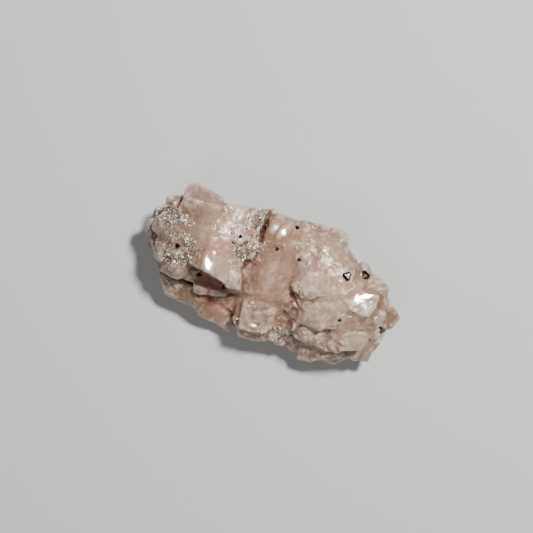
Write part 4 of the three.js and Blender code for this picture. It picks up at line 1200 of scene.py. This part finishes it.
def scatter_tree():
    """Node group that seats small saddle rhombs on a surface where a named value says."""
    group = bpy.data.node_groups.new("scattered_rhombs", "GeometryNodeTree")
    for name, kind in SCATTER_INPUTS.items():
        group.interface.new_socket(name, in_out="INPUT", socket_type=kind)
    group.interface.new_socket("Geometry", in_out="OUTPUT", socket_type="NodeSocketGeometry")
    node = Tree(group).node
    given = node("NodeGroupInput")
    surface, mask, density, smallest, largest, lean, cuts, seed, material = (
        given.other(name) for name in SCATTER_INPUTS
    )
    cover = node("GeometryNodeInputNamedAttribute", {"data_type": "FLOAT"}, {"Name": mask}, "Attribute")
    points = node(
        "GeometryNodeDistributePointsOnFaces", {"distribute_method": "RANDOM"},
        {"Mesh": surface, "Density": cover * density, "Seed": seed}, "Points",
    )
    block = node(
        "GeometryNodeMeshCube", {},
        {"Size": SMALL_RHOMB, "Vertices X": cuts, "Vertices Y": cuts, "Vertices Z": cuts},
    )
    place = node("ShaderNodeSeparateXYZ", {}, {0: node("GeometryNodeInputPosition")})
    x, y, z = (place.other(axis) for axis in "XYZ")
    saddle = x * y * 0.5 + (x * x + y * y) * -0.3 - 0.12
    offset = node("ShaderNodeCombineXYZ", {}, {"X": z * 0.3 + y * 0.26, "Z": saddle})
    rhomb = node("GeometryNodeSetPosition", {}, {"Geometry": block, "Offset": offset})
    low = node("ShaderNodeCombineXYZ", {}, {"X": lean * -1.0, "Y": lean * -1.0, "Z": -HALF_TURN})
    high = node("ShaderNodeCombineXYZ", {}, {"X": lean, "Y": lean, "Z": HALF_TURN})
    angles = node(
        "FunctionNodeRandomValue", {"data_type": "FLOAT_VECTOR"}, {0: low, 1: high, "Seed": seed}
    )
    turn = node("FunctionNodeEulerToRotation", {}, {0: angles})
    turned = node(
        "FunctionNodeRotateRotation", {"rotation_space": "LOCAL"},
        {0: points.other("Rotation"), 1: turn},
    )
    share = node("FunctionNodeRandomValue", {"data_type": "FLOAT"}, {"Seed": seed}, 1)
    size = share**2.5 * (largest - smallest) + smallest
    grains = node(
        "GeometryNodeInstanceOnPoints", {},
        {"Points": points, "Instance": rhomb, "Rotation": turned, "Scale": size},
    )
    tone = node("FunctionNodeRandomValue", {"data_type": "FLOAT"}, {2: -1.0, 3: 1.0, "Seed": 5}, 1)
    toned = node(
        "GeometryNodeStoreNamedAttribute", {"data_type": "FLOAT", "domain": "INSTANCE"},
        {"Geometry": grains, "Name": "tone", "Value": tone},
    )
    real = node("GeometryNodeRealizeInstances", {}, {"Geometry": toned})
    coated = node("GeometryNodeSetMaterial", {}, {"Geometry": real, "Material": material})
    group.links.new(coated.out, group.nodes.new("NodeGroupOutput").inputs["Geometry"])
    return group


def set_inputs(modifier, values):
    """Sets a geometry nodes modifier's inputs by their sockets' identifiers."""
    for item in modifier.node_group.interface.items_tree:
        if item.item_type == "SOCKET" and item.in_out == "INPUT" and item.name in values:
            modifier[item.identifier] = values[item.name]


# ---- chalcopyrite ----
POINT_CUT = 0.35  # how far from its middle plane each point of a crystal is cut, as in the solid
CRYSTAL_TILT = 0.69  # lean that brings a large face of a crystal uppermost, in radians
EDGE_SOFTNESS = 0.07  # width of the rounding along its edges
STEP_HEIGHT = 0.02  # height of the growth steps on its faces


def disphenoid_mesh(name, turn):
    """Cut-off disphenoid with softened edges and stepped faces that fills its node's box."""
    bm = bmesh.new()
    for corner in ((1, 1, 1), (-1, -1, 1), (-1, 1, -1), (1, -1, -1)):
        for cut in ((1, 1, POINT_CUT), (1, POINT_CUT, 1), (POINT_CUT, 1, 1)):
            bm.verts.new([a * b for a, b in zip(corner, cut)])
    bmesh.ops.convex_hull(bm, input=bm.verts)
    bmesh.ops.dissolve_limit(bm, angle_limit=0.02, verts=bm.verts, edges=bm.edges)
    bmesh.ops.bevel(bm, geom=bm.edges[:], offset=EDGE_SOFTNESS, segments=2, affect="EDGES", profile=0.6)
    bmesh.ops.triangulate(bm, faces=bm.faces[:])
    bmesh.ops.subdivide_edges(bm, edges=bm.edges[:], cuts=3, use_grid_fill=True)
    bmesh.ops.recalc_face_normals(bm, faces=bm.faces[:])
    mesh = drawn(bm, name)
    lean = Matrix.Rotation(CRYSTAL_TILT, 4, "X") @ Matrix.Rotation(-math.pi / 4, 4, "Z")
    mesh.transform(Matrix.Rotation(math.radians(turn), 4, "Z") @ lean)
    p = read_places(mesh)
    step = STEP_HEIGHT * ripple(p, 0.35, len(name)) * (np.abs(ripple(p, 0.9, 3)) > 0.2)
    p = p + read_normals(mesh) * step[:, None]
    low, high = (np.array(corner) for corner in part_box(name))
    p = (p - p.min(0)) / (p.max(0) - p.min(0)) * (high - low) + low
    set_places(mesh, p)
    add_values(mesh, "edge", np.clip(ripple(p / MM, 0.3, 9), 0, 1))
    return mesh


# ---- settings ----
def tint(name, description, default):
    """Colour property with its default."""
    return bpy.props.FloatVectorProperty(
        name=name, description=description, subtype="COLOR", default=default
    )


def number(name, description, default, **more):
    """Number property with its default."""
    return bpy.props.FloatProperty(name=name, description=description, default=default, **more)


def short_length(name, description, default):
    """Length property with its default, for sizes well below a millimetre."""
    return number(
        name, description, default, min=0.05 * MM, subtype="DISTANCE", unit="LENGTH", precision=5
    )


def angle(name, description, default):
    """Angle property with its default in radians."""
    return number(name, description, default, subtype="ANGLE", unit="ROTATION")


class DolomiteSettings(bpy.types.PropertyGroup):
    """Sizes and colours of the dolomite."""

    spacing: short_length("Mesh spacing", "Distance between mesh points on a face", 0.17 * MM)
    grain: short_length("Surface mesh", "Distance between points of the joined surface", 0.2 * MM)
    relief: number("Relief", "Strength of growth steps, panes and ragged edges", 1.0, min=0.0)
    pearl: tint("Pearl", "Colour of the cooler, paler faces", (0.33, 0.215, 0.146))
    pink: tint("Pink", "Colour of the warmer faces", (0.48, 0.236, 0.161))
    # Frosted edges and panes in part; also painted highlights on edges and ridges and painted glints
    frost: tint("Frost", "Colour of frosted edges and cleaved panes", (0.62, 0.5, 0.4))
    glint: tint("Glint", "Colour of the brightest sugary grains", (0.95, 0.92, 0.85))
    shade: tint("Shade", "Colour of the duller clouds in the faces", (0.185, 0.09, 0.052))
    # Partly the colour of clearer crystals, partly painted shade; also the painted shade between sugary
    # grains
    dull: tint("Dull", "Colour of the clearer, greyer crystals", (0.105, 0.067, 0.044))
    # Painted shade laid into the hollows and creases between the crystals
    hollow: tint("Hollow", "Colour deep between the crystals", (0.075, 0.026, 0.013))
    rust: tint("Rust", "Colour of the iron staining", (0.17, 0.036, 0.013))
    ochre: tint("Ochre", "Colour of the yellowish staining", (0.19, 0.13, 0.045))


def scatter_properties(density, smallest, largest, lean, cuts, seed):
    """Properties of one scatter of small rhombs, with its defaults."""
    return {
        "density": number(
            "Density", "Crystals on a square metre of fully covered surface", density, min=0.0
        ),
        "smallest": short_length("Smallest", "Edge of the smallest crystal", smallest),
        "largest": short_length("Largest", "Edge of the largest crystal", largest),
        "lean": angle("Lean", "Most that a crystal tilts away from the surface", lean),
        "cuts": bpy.props.IntProperty(
            name="Cuts", description="Mesh points along each edge of a crystal", default=cuts, min=2, max=6
        ),
        "seed": bpy.props.IntProperty(name="Seed", description="Which scatter is used", default=seed),
    }


class RubbleSettings(bpy.types.PropertyGroup):
    """Number and sizes of the small rhombs."""

    __annotations__ = scatter_properties(1.1e6, 0.25 * MM, 0.75 * MM, 0.25, 4, 7)


class SugarSettings(bpy.types.PropertyGroup):
    """Number and sizes of the sugary grains."""

    __annotations__ = scatter_properties(3.2e7, 0.1 * MM, 0.33 * MM, 0.9, 2, 4)


class ChalcopyriteSettings(bpy.types.PropertyGroup):
    """Colours of the chalcopyrite."""

    # Near-black tarnish, partly a painted dark reflection of the metal
    tarnish: tint("Tarnish", "Colour of tarnished faces", (0.02, 0.016, 0.012))
    brassy: tint("Brassy", "Colour of bare metal", (0.16, 0.12, 0.06))


class StageSettings(bpy.types.PropertyGroup):
    """Floor, light and camera."""

    floor: tint("Floor", "Colour of the floor", (0.47, 0.47, 0.465))
    key: number("Key light", "Power of the main light in watts", 1.75, min=0.0)
    fill: number("Fill light", "Power of the soft light in watts", 0.35, min=0.0)
    lens: number("Lens", "Focal length in millimetres", 150.0, min=20.0)
    turn: angle("Turn", "Turn of the camera about the line of sight", math.radians(22))


# ---- the cluster, step by step ----
BLENDING_ROUNDS = 40  # how often it is evened out where rhombs have grown into each other
BLENDING_GAIN = 1.3
BLENDING_START = 0.15  # strength below which nothing is blended
SURFACE_WAVES = ((1.9, 0.04, 3), (0.7, 0.02, 4))  # length, height and seed
LARGE_FACET = 1.5  # size of the larger flat panes of the joined surface
SMALL_FACET = 0.6  # size of the smaller ones
FACET_RELIEF = 0.08  # relief of the larger panes everywhere
ROUGH_RELIEF = 0.2  # further relief of both on rough faces
POLISH_LOSS = 0.85  # how much of this relief the polished faces lose
RIDGE_SCALES = ((3, 0.03), (14, 0.09))  # rounds of evening out, and height of a full ridge
SHELTER_REACH = 2.4 * MM  # how far away a neighbour still shelters a hollow
SHELTER_RAYS = 14
RUBBLE_FLOOR = 1.2 * MM  # small rhombs keep this far above the cut
RIM_RUBBLE = 0.45  # share of the small rhombs that grows right at the rim
LOOSE_RUBBLE = 0.04  # strength of the small rhombs on rough faces outside their patches
# Where each effect starts, and the width over which it comes in.
PLATE_SLOPE = (0.2, 0.3)  # upward part of the normal, for plates
SUGAR_SLOPE = (0.1, 0.4)  # the same for sugar
SUGAR_COVER = (0.25, 0.5)  # strength of the sugar patches
RUBBLE_INSET = (0.4, 0.8)  # millimetres in from the rim, for small rhombs
CLEAR_ROOM = (0.3, 0.4)  # room for relief, for both


def grown_together(settings):
    """The rhombs, their crust and the filled crevices as one object, cut off flat."""
    scene = bpy.context.scene
    operands = bpy.data.collections.new("operands")
    scene.collection.children.link(operands)

    def add(mesh):
        operands.objects.link(bpy.data.objects.new(mesh.name, mesh))

    rows = [*LEFT_LUMP, *POCKET, *CENTRE_ROWS, *RIGHT_LUMP, *LOWER_EDGE, *flank_rows()]
    for seed, row in enumerate(rows):
        add(rhomb_mesh(row, seed, settings.spacing / MM, settings.relief))
    for seed, row in enumerate(CORES[1:]):
        add(dome_mesh(row, seed + 1))
    cluster = new_object("dolomite", dome_mesh(CORES[0], 0))
    mesh = merged(cluster, operands, "UNION")
    filling = crevice_filling(mesh, settings.grain)
    scene.collection.objects.unlink(filling)
    operands.objects.link(filling)
    merged(cluster, operands, "UNION")
    add(matrix_block())
    merged(cluster, operands, "DIFFERENCE")
    bpy.data.collections.remove(operands)
    return cluster


def surface_lift(mesh, places, rough):
    """Lift in millimetres of the ripples, facets and plates over a joined surface."""
    points = in_rows(places)
    lift = sum(height * ripple(points, length, seed) for length, height, seed in SURFACE_WAVES)
    lift += (FACET_RELIEF + ROUGH_RELIEF * rough) * facets(points, LARGE_FACET, 51)
    lift += ROUGH_RELIEF * rough * facets(points, SMALL_FACET, 61)
    lift *= 1 - POLISH_LOSS * spotted(points, POLISHED_SPOTS, 0)
    upward = eased(read_normals(mesh)[:, 2], *PLATE_SLOPE)
    return (lift + plated(points) * upward) * room(places)


def weathered(mesh, relief):
    """Blends, ripples and seats a joined surface, and gives how rough each vertex is."""
    set_places(mesh, relaxed(mesh, EVENING_ROUNDS))
    blended = spotted(in_rows(read_places(mesh)), BLENDED_SPOTS, 0)
    blend = BLENDING_GAIN * blended - BLENDING_START
    set_places(mesh, relaxed(mesh, BLENDING_ROUNDS, 0.5 * np.clip(blend, 0, 1)[:, None]))
    places = read_places(mesh)
    normals = read_normals(mesh)
    rough = 1 - spotted(in_rows(places), SMOOTH_SPOTS, 0.2)
    places += normals * (surface_lift(mesh, places, rough) * relief * MM)[:, None]
    places = flattened(places, normals)
    set_places(mesh, inside_box(seated(places, normals)))
    return rough


def marked(mesh, rough):
    """Gives a mesh the values that its material and the small crystals go by."""
    places = read_places(mesh)
    points = in_rows(places)
    add_values(mesh, "hollow", shelter(mesh, SHELTER_RAYS, SHELTER_REACH))
    add_values(mesh, "ridge", sum(0.5 * ridges(mesh, rounds, full) for rounds, full in RIDGE_SCALES))
    stain(mesh, places)
    upward = eased(read_normals(mesh)[:, 2], *SUGAR_SLOPE)
    clear = eased(room(places), *CLEAR_ROOM)
    sugar = spotted(points, SUGAR_PATCHES, 0.8) * upward
    add_values(mesh, "sugar", eased(sugar, *SUGAR_COVER) * clear)
    inner = RIM_RUBBLE + (1 - RIM_RUBBLE) * eased(rim_distance(points), *RUBBLE_INSET)
    rubble = (spotted(points, RUBBLE_PATCHES, 0.6) + LOOSE_RUBBLE * rough) * inner
    add_values(mesh, "rubble", rubble * (places[:, 2] > RUBBLE_FLOOR) * clear)


# ---- operators ----
# Size and distance of each light in specimen lengths, and its direction.
STUDIO_LIGHTS = {
    "key": (1.2, 9, (0.21, 0.45, 0.87)),
    "fill": (4, 12, (-0.1, -0.45, 0.9)),
}
FLOOR_REACH = 20  # in specimen lengths
FLOOR_ROUGHNESS = 0.7
SKY = 0.12  # strength of the even light from all round
VIEW_WIDTH = 1.919  # width of the camera's view at mid height, in specimen lengths
EYE_OFFSET = (-0.0275, 0.0297)  # of the camera from the middle, in specimen lengths


class SPECIMEN_OT_dolomite(bpy.types.Operator):
    """Grows the cluster of curved dolomite rhombs as one solid"""

    bl_idname = "specimen.dolomite"
    bl_label = "Dolomite cluster"

    def execute(self, context):
        settings = context.scene.dolomite
        cluster = grown_together(settings)
        mesh = cluster.data
        marked(mesh, weathered(mesh, settings.relief))
        mesh.materials.clear()
        mesh.materials.append(dolomite_material(settings))
        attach(cluster, "root")
        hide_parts("dolomite_cluster")
        return {"FINISHED"}


def scattered(name, settings, material):
    """Piece of small rhombs seated on the cluster where the value of the same name says."""
    piece = new_object(name, bpy.data.objects["dolomite"].data.copy())
    modifier = piece.modifiers.new(name, "NODES")
    modifier.node_group = scatter_tree()
    values = {key.capitalize(): getattr(settings, key) for key in settings.__annotations__}
    set_inputs(modifier, {"Mask": name, "Material": material, **values})
    mesh = applied(piece)
    places = inside_box(read_places(mesh))
    set_places(mesh, places)
    stain(mesh, places)
    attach(piece, "root")


class SPECIMEN_OT_rubble(bpy.types.Operator):
    """Seats small rhombs along the edges and hollows of the cluster"""

    bl_idname = "specimen.rubble"
    bl_label = "Small rhombs"

    def execute(self, context):
        material = dolomite_material(context.scene.dolomite, "dolomite_small")
        scattered("rubble", context.scene.rubble, material)
        return {"FINISHED"}


class SPECIMEN_OT_sugar(bpy.types.Operator):
    """Strews sugary dolomite grains over the cluster's patches"""

    bl_idname = "specimen.sugar"
    bl_label = "Sugary grains"

    def execute(self, context):
        material = dolomite_material(context.scene.dolomite, "dolomite_sugar", sugary=True)
        scattered("sugar", context.scene.sugar, material)
        return {"FINISHED"}


class SPECIMEN_OT_chalcopyrite(bpy.types.Operator):
    """Makes the small chalcopyrite crystals"""

    bl_idname = "specimen.chalcopyrite"
    bl_label = "Chalcopyrite crystals"

    def execute(self, context):
        material = chalcopyrite_material(context.scene.chalcopyrite)
        for node, turn in CHALCOPYRITE_TURNS.items():
            mesh = disphenoid_mesh(node, turn)
            mesh.materials.append(material)
            crystal = new_object("crystal_" + node, mesh)
            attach(crystal, "root")
            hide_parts(node)
        return {"FINISHED"}


def area_light(name, power, size, direction, distance, target):
    """Square soft light that shines on a target from a direction."""
    data = bpy.data.lights.new(name, "AREA")
    data.energy = power
    data.size = size
    made = new_object(name, data)
    away = Vector(direction).normalized()
    made.location = Vector(target) + away * distance
    made.rotation_euler = away.to_track_quat("Z", "Y").to_euler()


class SPECIMEN_OT_stage(bpy.types.Operator):
    """Sets the floor, the lights and the camera that looks straight down on the display side"""

    bl_idname = "specimen.stage"
    bl_label = "Stage"

    def execute(self, context):
        settings = context.scene.stage
        low, high = CAD_BOX
        length = high.x - low.x
        middle = (low + high) / 2
        bm = bmesh.new()
        bmesh.ops.create_grid(bm, x_segments=1, y_segments=1, size=FLOOR_REACH * length)
        mesh = drawn(bm, "floor")
        mesh.transform(Matrix.Translation((0, 0, low.z)))
        mesh.materials.append(plain_material("floor", settings.floor, FLOOR_ROUGHNESS))
        new_object("floor", mesh)
        world = bpy.data.worlds.new("studio")
        context.scene.world = world
        world.use_nodes = True
        sky = world.node_tree.nodes["Background"]
        sky.inputs["Color"].default_value = (1.0, 1.0, 1.0, 1.0)
        sky.inputs["Strength"].default_value = SKY
        for name, (size, distance, direction) in STUDIO_LIGHTS.items():
            power = getattr(settings, name)
            area_light(name, power, size * length, direction, distance * length, middle)
        camera = bpy.data.cameras.new("camera")
        camera.lens = settings.lens
        camera.clip_start = length / 50
        camera.clip_end = length * 200
        eye = new_object("camera", camera)
        distance = VIEW_WIDTH * length * camera.lens / camera.sensor_width
        eye.location = (EYE_OFFSET[0] * length, EYE_OFFSET[1] * length, middle.z + distance)
        eye.rotation_euler = (0, 0, settings.turn)
        context.scene.camera = eye
        return {"FINISHED"}


class SPECIMEN_PT_panel(bpy.types.Panel):
    """Lists the specimen's parts and their settings"""

    bl_idname = "SPECIMEN_PT_panel"
    bl_label = "Dolomite specimen"
    bl_space_type = "VIEW_3D"
    bl_region_type = "UI"
    bl_category = "Specimen"

    def draw(self, context):
        for name, (_, operator) in PARTS.items():
            box = self.layout.box()
            box.operator(operator.bl_idname)
            settings = getattr(context.scene, name)
            for key in settings.__annotations__:
                box.prop(settings, key)


PARTS = {
    "dolomite": (DolomiteSettings, SPECIMEN_OT_dolomite),
    "rubble": (RubbleSettings, SPECIMEN_OT_rubble),
    "sugar": (SugarSettings, SPECIMEN_OT_sugar),
    "chalcopyrite": (ChalcopyriteSettings, SPECIMEN_OT_chalcopyrite),
    "stage": (StageSettings, SPECIMEN_OT_stage),
}


def register():
    for name, (group, operator) in PARTS.items():
        bpy.utils.register_class(group)
        setattr(bpy.types.Scene, name, bpy.props.PointerProperty(type=group))
        bpy.utils.register_class(operator)
    bpy.utils.register_class(SPECIMEN_PT_panel)


def unregister():
    bpy.utils.unregister_class(SPECIMEN_PT_panel)
    for name, (group, operator) in PARTS.items():
        bpy.utils.unregister_class(operator)
        delattr(bpy.types.Scene, name)
        bpy.utils.unregister_class(group)


def main():
    register()
    bpy.ops.specimen.stage()
    bpy.ops.specimen.dolomite()
    bpy.ops.specimen.rubble()
    bpy.ops.specimen.sugar()
    bpy.ops.specimen.chalcopyrite()


if __name__ == "__main__":
    main()
